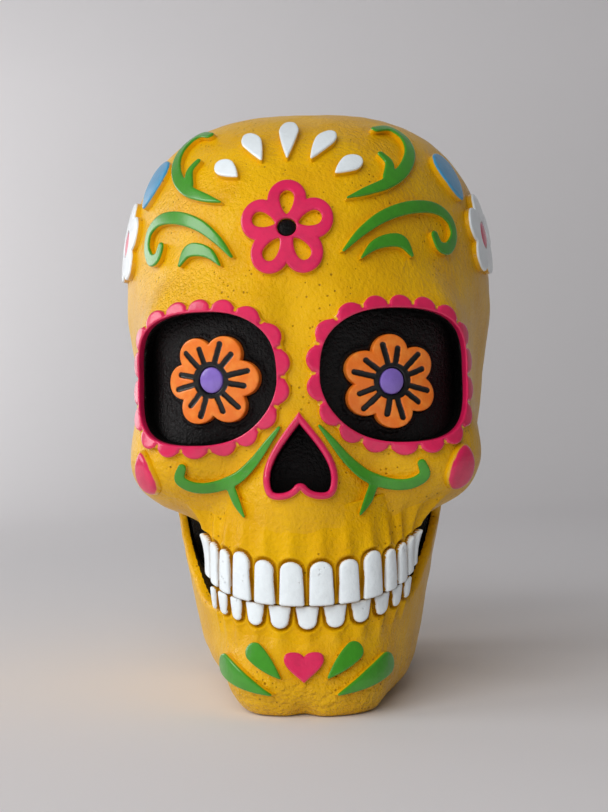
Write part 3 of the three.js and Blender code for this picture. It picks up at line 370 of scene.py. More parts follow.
def jaw_form(x, y, z):
    left, right = JAW_BASE_ROUNDING
    rounding = left + (right - left) * fade(-ROUNDING_SPREAD, ROUNDING_SPREAD, x)
    rounded = smooth_max(jaw_plan(x, y, z), -JAW_BASE_FLAT - z, rounding)
    half = np.sqrt(x * x + CHIN_MIDLINE_ROUNDING**2)
    return smooth_min(rounded, ellipsoid(half, y, z, *CHIN), CHIN_BLEND)


def ramus_front(z):
    return RAMUS_FRONT_Y - RAMUS_SLOPE * np.maximum(RAMUS_BEND_Z - z, 0)


def bite_height(angle):
    return BITE_Z + SMILE_RISE * np.minimum((angle / SMILE_ANGLE) ** 2, SMILE_LIMIT)


def swell(x, y, z):
    """Slow unevenness of a hand-finished casting."""
    return (np.sin(x * 0.31 + 1.3 * np.sin(z * 0.17)) * np.sin(z * 0.27 + y * 0.19)
            + 0.6 * np.sin(x * 0.53 - z * 0.41 + 2) * np.sin(y * 0.47 + z * 0.13)) * SWELL_HEIGHT


def gradient(form, x, y, z, step):
    return np.stack([form(x + step, y, z) - form(x - step, y, z),
                     form(x, y + step, z) - form(x, y - step, z),
                     form(x, y, z + step) - form(x, y, z - step)], -1) / (2 * step)


# Seats: frames where a ray meets a form, u to the viewer's right, v upwards, n outwards

def heading(degrees):
    """A level direction, turned from the front to the viewer's right."""
    a = math.radians(degrees)
    return np.array([math.sin(a), -math.cos(a), 0])


class Seat:
    def __init__(self, form, start, inwards, reach, yaw=None):
        self.form = form
        self.origin = meet(form, start[None], inwards, 0, reach)[0]
        n = gradient(form, *self.origin, 0.5) if yaw is None else heading(yaw)
        self.n = n / np.linalg.norm(n)
        v = np.array([0, 0, 1]) - self.n * self.n[2]
        self.v = v / np.linalg.norm(v)
        self.u = np.cross(self.v, self.n)

    def world(self, u, v, n):
        return self.origin + sum(np.multiply.outer(p, a) for p, a in ((u, self.u), (v, self.v), (n, self.n)))

    def local(self, x, y, z):
        dx, dy, dz = x - self.origin[0], y - self.origin[1], z - self.origin[2]
        return tuple(dx * a[0] + dy * a[1] + dz * a[2] for a in (self.u, self.v, self.n))


def meet(form, start, direction, level, reach):
    """Points on rays, from outside towards inside, where a form falls to a level."""
    def value(t):
        p = start + direction * t[..., None]
        return form(p[..., 0], p[..., 1], p[..., 2]) - level
    t = np.zeros(start.shape[:-1])
    for _ in range(MARCH_STEPS):
        t = np.minimum(t + np.maximum(value(t) * MARCH_SHARE, MARCH_LEAST), reach)
    outside, inside = np.maximum(t - 6, 0), np.minimum(t + 0.5, reach)
    for _ in range(HALVINGS):
        middle = (outside + inside) / 2
        out = value(middle) > 0
        outside = np.where(out, middle, outside)
        inside = np.where(out, inside, middle)
    return start + direction * inside[..., None]


def front_seat(form, x, z, yaw=None):
    return Seat(form, np.array([x, -CLEAR, z]), -heading(0), CLEAR, yaw)


def side_seat(azimuth, z):
    out = heading(azimuth)
    return Seat(cranium, np.array([0, BRAINCASE_Y, z]) + out * CLEAR, -out, CLEAR)


def beside_seat(seat, u, v):
    return Seat(seat.form, seat.world(u, v, SEAT_LIFT), -seat.n, 3 * SEAT_LIFT)


# Flat outlines: signed distances in a seat's plane

def spline(points, count=48):
    p = np.array(points, float)
    t = np.linspace(0, len(p) - 1, count)
    i = np.minimum(t.astype(int), len(p) - 2)
    f = (t - i)[:, None]
    a, b, c, d = (p[np.clip(i + k, 0, len(p) - 1)] for k in (-1, 0, 1, 2))
    return 0.5 * (2 * b + (c - a) * f + (2 * a - 5 * b + 4 * c - d) * f**2 + (3 * b - a - 3 * c + d) * f**3)


def offsets(u, v, u0, v0, u1, v1):
    """The nearest point of a segment, as a share of it, and the offsets from it."""
    du, dv = u1 - u0, v1 - v0
    t = np.clip(((u - u0) * du + (v - v0) * dv) / max(du * du + dv * dv, 1e-9), 0, 1)
    return t, u - u0 - du * t, v - v0 - dv * t


def stroke(u, v, points):
    """A brush stroke through points (u, v, half width)."""
    path = spline(points)
    best = np.full(np.broadcast(u, v).shape, 1e3)
    for (u0, v0, r0), (u1, v1, r1) in zip(path[:-1], path[1:]):
        t, across, up = offsets(u, v, u0, v0, u1, v1)
        best = np.minimum(best, np.hypot(across, up) - (r0 + (r1 - r0) * t))
    return best


def drop(u, v, head, tip, width, blunt=1.0):
    """A drop from its head's end to its pointed tip; the head is blunter where blunt is below 1."""
    head, tip = np.array(head, float), np.array(tip, float)
    length = np.linalg.norm(tip - head)
    along = (tip - head) / length
    r, tip_radius = width / 2, 0.4
    shares = np.linspace(0, 1, 9)
    centres = [head + along * (r * blunt + (length - r * blunt) * s) for s in shares]
    radii = r * np.minimum(blunt + 2 * shares, 1) * (1 - shares**1.7) + tip_radius * shares
    return stroke(u, v, [(*c, q) for c, q in zip(centres, radii)])


def petals(u, v, count, first, distance, radius, hub):
    best = np.hypot(u, v) - hub
    for k in range(count):
        a = math.radians(first + 360 / count * k)
        best = np.minimum(best, np.hypot(u - distance * math.cos(a), v - distance * math.sin(a)) - radius)
    return best


def polygon(u, v, corners):
    best = np.full(np.broadcast(u, v).shape, 1e6)
    inside = np.zeros(best.shape, bool)
    for (u0, v0), (u1, v1) in zip(corners, np.roll(corners, -1, 0)):
        _, across, up = offsets(u, v, u0, v0, u1, v1)
        best = np.minimum(best, across**2 + up**2)
        rise = v1 - v0 if abs(v1 - v0) > 1e-9 else 1e-9
        inside ^= ((v0 > v) != (v1 > v)) & (u < u0 + (u1 - u0) * (v - v0) / rise)
    return np.where(inside, -1, 1) * np.sqrt(best)


def bezier(p0, p1, p2, p3, count=10):
    t = np.linspace(0, 1, count, endpoint=False)[:, None]
    return p0 * (1 - t) ** 3 + 3 * p1 * t * (1 - t) ** 2 + 3 * p2 * t**2 * (1 - t) + p3 * t**3


def heart(w, rise, fall, notch):
    """Corners of a heart of half width w, with its lobes and notch above and its tip below."""
    right = np.array([((0, -fall), (w * 0.35, -fall * 0.62), (w, -fall * 0.15), (w, rise * 0.42)),
                      ((w, rise * 0.42), (w, rise * 0.9), (w * 0.8, rise), (w * 0.55, rise)),
                      ((w * 0.55, rise), (w * 0.3, rise), (w * 0.1, rise * 0.9), (0, notch))])
    side = np.concatenate([bezier(*c) for c in right])
    left = side[1:][::-1] * (-1, 1)
    return np.concatenate([side, [(0, notch)], left])


def eye_outline(u, v, hand):
    """A squarish socket that is rounder in the corner by the nose."""
    power = np.where((u * hand < 0) & (v < 0), EYE_CORNER_SQUARENESS, EYE_SQUARENESS)
    return arch(u, v, EYE_HALF_WIDTH, EYE_HALF_HEIGHT, power)


# Meshes

def new_object(name, data):
    obj = bpy.data.objects.new(name, data)
    scene.collection.objects.link(obj)
    return obj


def add_piece(name, points, quads, slot, **attributes):
    """A mesh in a slot's paint that stands in the place of the CAD node of its name."""
    mesh = bpy.data.meshes.new(name)
    mesh.vertices.add(len(points))
    mesh.vertices.foreach_set("co", (np.asarray(points) * MM).astype(np.float32).ravel())
    mesh.loops.add(quads.size)
    mesh.loops.foreach_set("vertex_index", quads.astype(np.int32).ravel())
    mesh.polygons.add(len(quads))
    mesh.polygons.foreach_set("loop_start", np.arange(0, quads.size, quads.shape[1], dtype=np.int32))
    mesh.update(calc_edges=True)
    mesh.validate()
    for key, values in attributes.items():
        mesh.attributes.new(key, "FLOAT", "POINT").data.foreach_set("value", np.asarray(values, np.float32))
    mesh.shade_smooth()
    mesh.materials.append(PAINTS[slot])
    obj = new_object(name, mesh)
    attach(obj, "root")
    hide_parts(name)


def contour(values):
    """Vertices, in cells, and quads of the zero surface of an array."""
    grid = openvdb.FloatGrid(float(np.max(values)))
    grid.copyFromArray(np.ascontiguousarray(values, np.float32))
    points, quads = grid.convertToQuads(0.0)
    points = points.astype(float)
    a, b, c, d = (points[quads[:, k]] for k in range(4))
    volume = (a * (np.cross(b, c) + np.cross(c, d))).sum()
    return points, quads[:, ::-1] if volume < 0 else quads


def sampled(form, low, high, voxel, coarse=4, chunk=400_000):
    """A form's values on a grid, worked out only in the coarse cells near its surface."""
    cells = np.ceil((high - low) / (voxel * coarse)).astype(int)
    axes = [low[k] + np.arange(cells[k] + 1) * voxel * coarse for k in range(3)]
    rough = form(axes[0][:, None, None], axes[1][None, :, None], axes[2][None, None, :])
    nearest = np.full(cells, 1e9)
    for i, j, k in np.ndindex(2, 2, 2):
        corner = rough[i:cells[0] + i, j:cells[1] + j, k:cells[2] + k]
        nearest = np.minimum(nearest, np.abs(corner))
    far = voxel * 3
    sign = np.where(rough[:-1, :-1, :-1] > 0, far, -far).astype(np.float32)
    values = np.repeat(np.repeat(np.repeat(sign, coarse, 0), coarse, 1), coarse, 2)
    cell = np.argwhere(nearest < voxel * coarse * 1.3)
    step = np.stack(np.meshgrid(*[np.arange(coarse)] * 3, indexing="ij"), -1).reshape(-1, 3)
    index = (cell[:, None, :] * coarse + step[None]).reshape(-1, 3)
    for part in np.array_split(index, max(1, len(index) // chunk)):
        p = low + part * voxel
        exact = form(p[:, 0], p[:, 1], p[:, 2])
        values[part[:, 0], part[:, 1], part[:, 2]] = np.clip(exact, -far, far)
    return values


def form_mesh(form, box, voxel, rounds=2):
    """Vertices on a form's surface, and quads."""
    points, quads = contour(sampled(form, *box, voxel))
    points = box[0] + points * voxel
    for _ in range(rounds):
        d, g = form(*points.T), gradient(form, *points.T, 0.2)
        points = points - np.clip(d / np.maximum((g * g).sum(-1), 0.25), -0.4, 0.4)[:, None] * g
    return points, quads


def read_table(table, s, t):
    """Values between the entries of a table, at rows s and columns t."""
    s, t = np.clip(s, 0, table.shape[0] - 1.001), np.clip(t, 0, table.shape[1] - 1.001)
    i, j = s.astype(int), t.astype(int)
    a, b = s - i, t - j
    return ((table[i, j] * (1 - b) + table[i, j + 1] * b) * (1 - a)
            + (table[i + 1, j] * (1 - b) + table[i + 1, j + 1] * b) * a)


def tabled(outline, reach, step=0.4):
    """An outline that is read from a table, for forms that ask for it at many points."""
    axis = np.arange(-reach, reach + step, step)
    table = outline(*np.meshgrid(axis, axis, indexing="ij"))
    return lambda u, v: read_table(table, (u + reach) / step, (v + reach) / step)


class Sheet:
    """A form's height over a seat's plane, on a rough grid that is read smoothly."""

    def __init__(self, seat, reach, step=1.5):
        self.low = np.array(reach[::2], float) - 2 * step
        self.step = step
        count = np.ceil((np.array(reach[1::2]) - self.low) / step).astype(int) + 3
        axes = (self.low[k] + np.arange(count[k]) * step for k in (0, 1))
        uu, vv = np.meshgrid(*axes, indexing="ij")
        start = seat.world(uu, vv, np.full(uu.shape, SEAT_LIFT))
        hit = meet(seat.form, start, -seat.n, 0, 3 * SEAT_LIFT)
        self.height = (hit - seat.origin) @ seat.n
        slope_u, slope_v = np.gradient(self.height, step)
        self.tilt = 1 / np.sqrt(1 + slope_u**2 + slope_v**2)

    def read(self, table, u, v):
        return read_table(table, (u - self.low[0]) / self.step, (v - self.low[1]) / self.step)


def relief(name, seat, outline, reach, slot, low=-RELIEF_ROOT, high=RELIEF, crown=0.0, rounding=0.5,
           voxel=RELIEF_VOXEL, carve=None, ink=None, covered=None):
    """A raised piece: a flat outline on a seat, from low to high over its form, with rounded edges.

    Its top is domed by crown and cut by carve. Paint covers the top and, where covered says so, the walls.
    """
    sheet = Sheet(seat, reach)
    pad = 3 * voxel
    u, v = (np.arange(reach[k] - pad, reach[k + 1] + pad, voxel) for k in (0, 2))
    uu, vv = np.meshgrid(u, v, indexing="ij")
    flat = outline(uu, vv)
    height = sheet.read(sheet.height, uu, vv)
    tilt = sheet.read(sheet.tilt, uu, vv)
    near = flat < 1
    n = np.arange(height[near].min() + (low - 1) / tilt[near].min(),
                  height[near].max() + (high + 1.5) / tilt[near].min(), voxel)
    top = high + crown * (1 - np.exp(-np.maximum(-flat, 0) / 1.5)) - crown
    if carve is not None:
        top = top - carve(uu, vv)
    above = (n[None, None, :] - height[..., None]) * tilt[..., None]
    solid = smooth_max(flat[..., None], above - top[..., None], rounding)
    solid = smooth_max(solid, low - above, 0.4)
    points, quads = contour(np.clip(solid, -BAND, BAND))
    pu, pv, pn = (axis[0] + points[:, k] * voxel for k, axis in enumerate((u, v, n)))
    lift = (pn - sheet.read(sheet.height, pu, pv)) * sheet.read(sheet.tilt, pu, pv) / high
    attributes = {"lift": lift if covered is None else np.maximum(lift, covered(pu, pv))}
    if ink is not None:
        attributes["ink"] = ink(pu, pv)
    add_piece(name, seat.world(pu, pv, pn), quads, slot, **attributes)


# Materials

def linear(*rgb):
    return tuple(c / 255 / 12.92 if c <= 10 else ((c / 255 + 0.055) / 1.055) ** 2.4 for c in rgb) + (1,)


YELLOW = linear(234, 180, 4)
YELLOW_DEEP = linear(224, 167, 2)
# Ochre: for the dark specks in pits, and for the painted shade in the grooves round the teeth
OCHRE = linear(146, 92, 8)
BLACK = linear(8, 8, 8)
BLACK_WORN = linear(26, 27, 29)
PINK = linear(226, 32, 90)
GREEN = linear(64, 152, 30)
BLUE = linear(66, 156, 204)
ORANGE = linear(240, 120, 32)
ORANGE_PALE = linear(246, 142, 52)
PURPLE = linear(136, 108, 200)
WHITE = linear(242, 250, 254)
FLOOR_WARM = linear(234, 231, 232)
FLOOR_COOL = linear(229, 227, 229)
COAT_ROUGHNESS = 0.18
PAINTS = {}  # by slot, because the frame may hold a material's name already


class Nodes:
    """A material's node tree, with short calls for the nodes that it uses."""

    def __init__(self, name, roughness, coat=0.0, specular=0.5):
        material = PAINTS[name] = bpy.data.materials.new(name)
        material.use_nodes = True
        self.tree = material.node_tree
        self.shader = self.tree.nodes["Principled BSDF"]
        self.feed(self.shader, {"Roughness": roughness, "Coat Weight": coat,
                                "Coat Roughness": COAT_ROUGHNESS, "Specular IOR Level": specular})
        self.place = self.add("ShaderNodeTexCoord", {}, "Object")

    def feed(self, node, inputs):
        """Sets a node's inputs to numbers or colours, or links them to other nodes' outputs."""
        for key, source in inputs.items():
            if isinstance(source, (int, float, tuple)):
                node.inputs[key].default_value = source
            elif source is not None:
                self.tree.links.new(source, node.inputs[key])

    def add(self, kind, inputs, output, **settings):
        node = self.tree.nodes.new(kind)
        for key, value in settings.items():
            setattr(node, key, value)
        self.feed(node, inputs)
        return node.outputs[output]

    def attribute(self, name):
        return self.add("ShaderNodeAttribute", {}, "Fac", attribute_name=name)

    def noise(self, scale, detail=2.0, rough=0.5):
        inputs = {"Vector": self.place, "Scale": scale, "Detail": detail, "Roughness": rough}
        return self.add("ShaderNodeTexNoise", inputs, "Fac")

    def cells(self, scale):
        inputs = {"Vector": self.place, "Scale": scale}
        return self.add("ShaderNodeTexVoronoi", inputs, "Distance", feature="F1")

    def math(self, operation, a, b):
        return self.add("ShaderNodeMath", {0: a, 1: b}, 0, operation=operation)

    def wavering(self, name, noise, share):
        """An attribute that a noise makes uneven."""
        wobble = self.math("MULTIPLY", self.math("SUBTRACT", noise, 0.5), share)
        return self.math("ADD", self.attribute(name), wobble)

    def ramp(self, value, start, end, low=0.0, high=1.0):
        inputs = {"Value": value, "From Min": start, "From Max": end, "To Min": low, "To Max": high}
        return self.add("ShaderNodeMapRange", inputs, "Result", interpolation_type="SMOOTHSTEP")

    def mix(self, share, a, b):
        return self.add("ShaderNodeMix", {"Factor": share, "A": a, "B": b}, "Result", data_type="RGBA")

    def bump(self, height, distance, strength, after=None):
        inputs = {"Distance": distance, "Strength": strength, "Height": height, "Normal": after}
        return self.add("ShaderNodeBump", inputs, "Normal")

    def finish(self, colour, normal=None):
        self.feed(self.shader, {"Base Color": colour, "Normal": normal})


def pits_at(nodes):
    """Closeness to the sparse pits of the casting, which come in patches."""
    patches = nodes.ramp(nodes.noise(70), 0.4, 0.6, 3.5, 1.0)
    return nodes.ramp(nodes.math("MULTIPLY", nodes.cells(440), patches), 0.08, 0.21, 1.0, 0.0)


def yellow_colour(nodes, pits):
    """Yellow paint that lies thinner in places, with dark specks in its pits."""
    tone = nodes.mix(nodes.ramp(nodes.noise(60, 3), 0.35, 0.7), YELLOW, YELLOW_DEEP)
    return nodes.mix(nodes.math("MULTIPLY", pits, 0.7), tone, OCHRE)


def pitted(nodes, pits, strength=0.9):
    """Grain of the casting, with lumps where it is coarse, and its pits."""
    swells = nodes.bump(nodes.noise(420, 2, 0.5), 0.0006, 0.4)
    grain = nodes.bump(nodes.noise(700, 3, 0.6), 0.0006, strength, swells)
    lumps = nodes.math("MULTIPLY", nodes.noise(520, 3, 0.55), nodes.attribute("coarse"))
    lumpy = nodes.bump(lumps, 0.0016, 1.0, grain)
    return nodes.bump(nodes.math("SUBTRACT", 1.0, pits), 0.0004, 0.7, lumpy)


def make_skull_paint():
    nodes = Nodes("yellow_skull", roughness=0.32, specular=0.38)
    pits = pits_at(nodes)
    ragged = nodes.math("ADD", nodes.attribute("dark"), nodes.math("MULTIPLY", nodes.noise(300), 0.2))
    colour = nodes.mix(nodes.ramp(ragged, 0.55, 0.7), yellow_colour(nodes, pits), BLACK)
    nodes.finish(colour, pitted(nodes, pits))


def brushed(nodes, colour, thinning):
    """Paint with streaks where the brush left it thin, and the streaks themselves."""
    streak = nodes.noise(260, 3, 0.6)
    thin = tuple(c * thinning for c in colour[:3]) + (1,)
    return nodes.mix(nodes.ramp(streak, 0.35, 0.75), colour, thin), streak


def make_paint(name, colour, wall=None, thinning=0.86):
    """Brushed paint on a relief's top, with the casting's own colour on its walls."""
    nodes = Nodes(name, roughness=0.28, coat=0.7)
    tone, streak = brushed(nodes, colour, thinning)
    painted = nodes.ramp(nodes.wavering("lift", streak, 0.3), 0.62, 0.78)
    ground = yellow_colour(nodes, pits_at(nodes)) if wall is None else wall
    nodes.finish(nodes.mix(painted, ground, tone), nodes.bump(nodes.noise(800, 3, 0.6), 0.0003, 0.35))


def make_tooth_paint():
    """White faces on a yellow gum, with ochre painted shade in the groove round each tooth."""
    nodes = Nodes("white_teeth", roughness=0.34, specular=0.2)
    tone, streak = brushed(nodes, WHITE, 0.95)
    pits = pits_at(nodes)
    # painted shade: ochre darkens the gum in the groove round each tooth
    groove = nodes.math("MULTIPLY", nodes.attribute("groove"), 0.55)
    gum = nodes.mix(groove, yellow_colour(nodes, pits), OCHRE)
    white = nodes.ramp(nodes.wavering("lift", streak, 0.3), 0.4, 0.6)
    grain = pitted(nodes, pits, nodes.ramp(white, 0.0, 1.0, 0.9, 0.3))
    nodes.finish(nodes.mix(white, gum, tone), grain)


def make_flower_paint():
    """Orange petals with black strokes, edges and ground."""
    nodes = Nodes("orange_paint", roughness=0.32, coat=0.15)
    wobble = nodes.noise(500, 3)
    tone = nodes.mix(nodes.ramp(nodes.noise(300, 3), 0.4, 0.75), ORANGE, ORANGE_PALE)
    ink = nodes.ramp(nodes.wavering("ink", wobble, 0.5), 0.0, 0.25, 1.0, 0.0)
    raised = nodes.ramp(nodes.wavering("lift", wobble, 0.15), -0.85, -0.6)
    colour = nodes.mix(raised, BLACK, nodes.mix(ink, tone, BLACK))
    nodes.finish(colour, nodes.bump(nodes.noise(800, 3, 0.6), 0.0003, 0.4))


def make_black_paint():
    nodes = Nodes("black_paint", roughness=0.36, specular=0.3)
    tone = nodes.mix(nodes.ramp(nodes.noise(420, 4, 0.7), 0.6, 0.85), BLACK, BLACK_WORN)
    nodes.finish(tone, nodes.bump(nodes.noise(900, 3, 0.6), 0.0008, 0.9))


make_skull_paint()
make_black_paint()
make_tooth_paint()
make_paint("pink_paint", PINK)
make_paint("green_paint", GREEN)
make_paint("blue_paint", BLUE)
make_paint("white_paint", WHITE, thinning=0.95)
make_paint("purple_paint", PURPLE, wall=BLACK)
make_flower_paint()


# Skull

EYE_SEATS = {side: front_seat(cranium, hand * EYE_X, EYE_Z, hand * EYE_YAW) for side, hand in SIDES.items()}
NOSE_SEAT = front_seat(cranium, 0, NOSE_Z)
NOSE_CORNERS = heart(*NOSE_HEART) * (1, -1)


def nose_outline(u, v):
    return polygon(u, v, NOSE_CORNERS)


quick_nose_outline = tabled(nose_outline, 22.0)


def neck(x, y, z):
    half_length = (NECK_REAR_Y - NECK_FRONT_Y) / 2
    girth = 1 - NECK_WAIST * np.sin(np.pi * np.clip(z / NECK_HEIGHT, 0, 1))
    column = arch(x, y - NECK_MIDDLE_Y, NECK_HALF_WIDTH * girth, half_length * girth, 2.0)
    return smooth_max(column, z - NECK_HEIGHT - NECK_INSIDE, 6)


def skull(x, y, z):
    outer = cranium(x, y, z)
    valley = ridge(x, BROW_VALLEY_DEPTH, FOREHEAD_SHIFT, BROW_VALLEY_WIDTH)
    valley = valley * fade(110, 118, z) * fade(138, 128, z) * fade(-50, -60, y)
    uneven = swell(x, y, z) + valley - bone_ridges(x, y, z, 1, *UPPER_ROW)
    d = smooth_min(outer + uneven, neck(x, y, z), NECK_BLEND)
    d = smooth_max(d, -z, EDGE_ROUNDING)
    hollow = ellipsoid(x, y, z, (0, BRAINCASE_Y + CAVITY_SETBACK, BRAINCASE_Z), tuple(
        s - SHELL_WALL - c for s, c in zip(BRAINCASE_HALF_SIZE, (0, CAVITY_SETBACK, 0))))
    bore = smooth_max(np.hypot(x, y - NECK_MIDDLE_Y) - NECK_BORE, z - BRAINCASE_Z, 4)
    d = smooth_max(d, -smooth_min(hollow, bore, 6), EDGE_ROUNDING)
    for side, seat in EYE_SEATS.items():
        u, v, _ = seat.local(x, y, z)
        floor = -EYE_DEPTH - EYE_PLATE / 2 - outer
        pocket = smooth_max(eye_outline(u, v, SIDES[side]) - 0.3, floor, EDGE_ROUNDING)
        d = smooth_max(d, -np.maximum(pocket, y - EYE_POCKET_REAR_Y), EDGE_ROUNDING)
    u, v, n = NOSE_SEAT.local(x, y, z)
    pocket = smooth_max(quick_nose_outline(u, v) + NOSE_RIM_WIDTH - 0.4, -NOSE_DEPTH - 1 - n, 2)
    return smooth_max(d, -pocket, 1.2)


def skull_darkness(x, y, z):
    """Where black paint lies on the skull: in its sockets, its nose and its mouth."""
    outer = cranium(x, y, z)
    dark = np.zeros(len(x))
    for side, seat in EYE_SEATS.items():
        u, v, _ = seat.local(x, y, z)
        socket = fade(1.6, 1.0, eye_outline(u, v, SIDES[side]))
        dark = np.maximum(dark, socket * (y < -20) * (outer > -12))
    u, v, n = NOSE_SEAT.local(x, y, z)
    nose = fade(0.9, 0.4, quick_nose_outline(u, v) + NOSE_RIM_WIDTH - 0.6)
    dark = np.maximum(dark, nose * (n > -14))
    ahead = fade(-2, -4, y)
    mouth = fade(-8, -5, y - ramus_front(z)) * fade(66, 63, z) * fade(40, 38, np.abs(x)) * ahead
    palate = fade(-1.5, -3, tooth_arch(x, y)) * fade(62, 58, z) * ahead
    return np.maximum(dark, np.maximum(mouth, palate))


def build_skull():
    points, quads = form_mesh(skull, SKULL_BOX, SKULL_VOXEL)
    x, y, z = points.T
    add_piece("cranium_shell", points, quads, "yellow_skull", dark=skull_darkness(x, y, z),
              coarse=0.35 * fade(-45, -60, y) * fade(10, -25, x))


# Lower jaw

def jaw_side(y, z):
    """The lower jaw seen from the side."""
    gum = BITE_Z - LOWER_TOOTH_HEIGHT + 0.4
    rise = CORNER_RISE * fade(JAW_Y - JAW_HALF_LENGTH, CORNER_Y, y)
    body = z - (gum + rise - NOTCH_FALL * fade(CORNER_Y + 4, NOTCH_Y, y))
    ramus = smooth_max(ramus_front(z) - y, z - JAW_TOP_Z - RAMUS_ABOVE, 2)
    rear = y - JAW_REAR_Y + JAW_ANGLE_SETBACK * fade(30, -2, z)
    return smooth_max(smooth_min(body, ramus, 6), rear, 4)


def jaw(x, y, z):
    cleft = ridge(x, *CLEFT) * fade(9, 1, z) * fade(-60, -72, y)
    outer = jaw_form(x, y, z) + swell(x, y, z) + cleft - bone_ridges(x, y, z, -1, *LOWER_ROW)
    wall = JAW_WALL + (JAW_BASE_WALL - JAW_WALL) * fade(52, 12, z)
    hollow = smooth_max(jaw_plan(x, y, z) + wall, JAW_FLOOR_Z - z, 3)
    d = smooth_max(outer, -hollow, 2)
    d = smooth_max(d, jaw_side(y, z), 2.2)
    d = smooth_max(d, -z, EDGE_ROUNDING)
    d = smooth_max(d, NECK_GAP - neck(x, y, z), 1)
    return smooth_max(d, -cranium(x, y, z) - JAW_INTO_SKULL, 1)


def build_jaw():
    points, quads = form_mesh(jaw, JAW_BOX, JAW_VOXEL)
    x, y, z = points.T
    inside = fade(-2.4, -3.3, jaw_plan(x, y, z)) * fade(-1.2, -2, jaw_form(x, y, z))
    add_piece("mandible", points, quads, "yellow_skull", dark=inside * fade(6, 9, z) * fade(-66, -60, y),
              coarse=fade(24, 8, z))


# Teeth: laid out along the arch, then bent round it

def tooth_spans(angles, start):
    spans = []
    for side, hand in SIDES.items():
        edge = start
        for angle in angles[side]:
            spans.append(tuple(sorted((hand * edge, hand * (edge + angle)))))
            edge += angle
    return spans


def tooth_place(span, height, canine):
    """A tooth's middle and half width along the arch, and its height."""
    middle = sum(span) / 2
    shorter = MOLAR_SHORTER["left" if middle < 0 else "right"] * (middle / MOLAR_ANGLE) ** 2
    longer = ridge(abs(middle), canine, CANINE_ANGLE, CANINE_SPREAD)
    half = (span[1] - span[0] - TOOTH_SPACE) / 2
    return middle * ARC_STEP, half * ARC_STEP, height * (1 - shorter) + longer


def root_ridges(s, v, spans, height, canine, roots):
    """Swelling of the bone over each tooth's root, s along the arch and v from the bite."""
    bone = np.zeros(np.shape(s))
    for span in spans:
        middle, half, own = tooth_place(span, height, canine)
        root = ridge(s, 1, middle, half * 0.62)
        bone = np.maximum(bone, root * fade(own, own + 2.5, v) * (1 - fade(own + 2, own + roots, v)))
    return bone


def bone_ridges(x, y, z, down, *row):
    angle = np.degrees(np.arctan2(x - ARCH_X, ARCH_Y - y))
    return root_ridges(angle * ARC_STEP, down * (z - bite_height(angle)), *row) * fade(-40, -46, y)


# Rows as spans, height, canine's extra height and the roots' length
UPPER_ROW = (tooth_spans(UPPER_TOOTH_ANGLES, 0), UPPER_TOOTH_HEIGHT, CANINE_LONGER, UPPER_ROOTS)
LOWER_ROW = (tooth_spans(LOWER_TOOTH_ANGLES, LOWER_MIDDLE) + [(-LOWER_MIDDLE, LOWER_MIDDLE)],
             LOWER_TOOTH_HEIGHT, 0.0, LOWER_ROOTS)


def tooth_outline(half, height, taper):
    """A tooth seen from the front: a straight biting edge at v = 0 and a round end at the gum."""
    nick, narrow = 0.4, half * (1 - taper)
    shoulder = height - min(narrow, 0.6 * height)
    turn = np.linspace(0, math.pi, 13)
    gum = np.stack([narrow * np.cos(turn), shoulder + (height - shoulder) * np.sin(turn) ** 0.9], -1)
    return np.concatenate([[(nick - half, 0), (half - nick, 0), (half, nick)], gum, [(-half, nick)]])


def build_teeth(name, row, form, down, base, tall, taper):
    """A row of teeth on its gum: down is -1 for the lower row, base the gum's level, tall a tooth's."""
    spans, height, canine, roots = row
    voxel = TEETH_VOXEL
    first = (min(spans)[0] - ROW_MARGIN) * ARC_STEP
    last = (max(spans)[1] + ROW_MARGIN) * ARC_STEP
    s = np.arange(first - 3, last + 3, voxel)
    v = np.arange(-1.2, height + roots + 3, voxel)
    h = np.arange(-3.2, tall + base + 1.6, voxel)
    ss, vv = np.meshgrid(s, v, indexing="ij")
    nearest = np.full(ss.shape, 1e3)
    dome = np.zeros(ss.shape)
    for span in spans:
        middle, half, own = tooth_place(span, height, canine)
        flat = polygon(ss - middle, vv - 0.2, tooth_outline(half, own, taper))
        closer = flat < nearest
        nearest = np.where(closer, flat, nearest)
        bow = 1 - 0.22 * ((ss - middle) / half) ** 2 - 0.3 * np.maximum(vv / own - 0.3, 0) ** 2
        dome = np.where(closer, bow, dome)
    gum = base - (base + 0.4) * fade(height + 1, height + roots - 2, vv) + root_ridges(ss, vv, *row)
    gum = gum - ridge(nearest, *GROOVE) + ridge(nearest, *GUM_ROLL)
    beyond = np.maximum(ss - last, first - ss)
    gum = gum - ROW_END_FALL * fade(-4, 1, beyond)
    hh = h[None, None, :]
    strip = smooth_max(smooth_max(hh - gum[..., None], STRIP_BACK - hh, 0.6), 0.1 - vv[..., None], 0.5)
    strip = smooth_max(strip, vv[..., None] - height - roots - 1, 0.6)
    strip = smooth_max(strip, beyond[..., None] - 1, 0.6)
    tooth = smooth_max(nearest[..., None], hh - (base + tall * dome)[..., None], 0.8)
    tooth = smooth_max(tooth, TOOTH_BACK - hh, 0.4)
    points, quads = contour(np.clip(np.minimum(strip, tooth), -BAND, BAND))
    ps, pv, ph = (axis[0] + points[:, k] * voxel for k, axis in enumerate((s, v, h)))
    i, j = (np.clip(np.round(points[:, k]).astype(int), 0, n - 1) for k, n in enumerate(ss.shape))
    edge = nearest[i, j]
    lift = (ph - base * 0.2) / tall * fade(0.5, -0.2, edge)
    # how much painted shade the groove round each tooth gets, strongest at the tooth's edge
    groove = ridge(edge, 1, 0.1, 0.6)
    angle = ps / ARC_STEP
    turn, none = np.radians(angle), np.zeros(len(angle))
    out = np.stack([np.sin(turn), -np.cos(turn), none], -1)
    start = np.stack([none + ARCH_X, none + ARCH_Y, bite_height(angle) + down * pv], -1)
    placed = meet(form, start + out * 80, -out, ph, 80)
    add_piece(name, placed, quads[:, ::down], "white_teeth", lift=lift, groove=groove)


# Relief pieces

def mirrored(points, hand):
    return [(u * hand, *rest) for u, *rest in points]


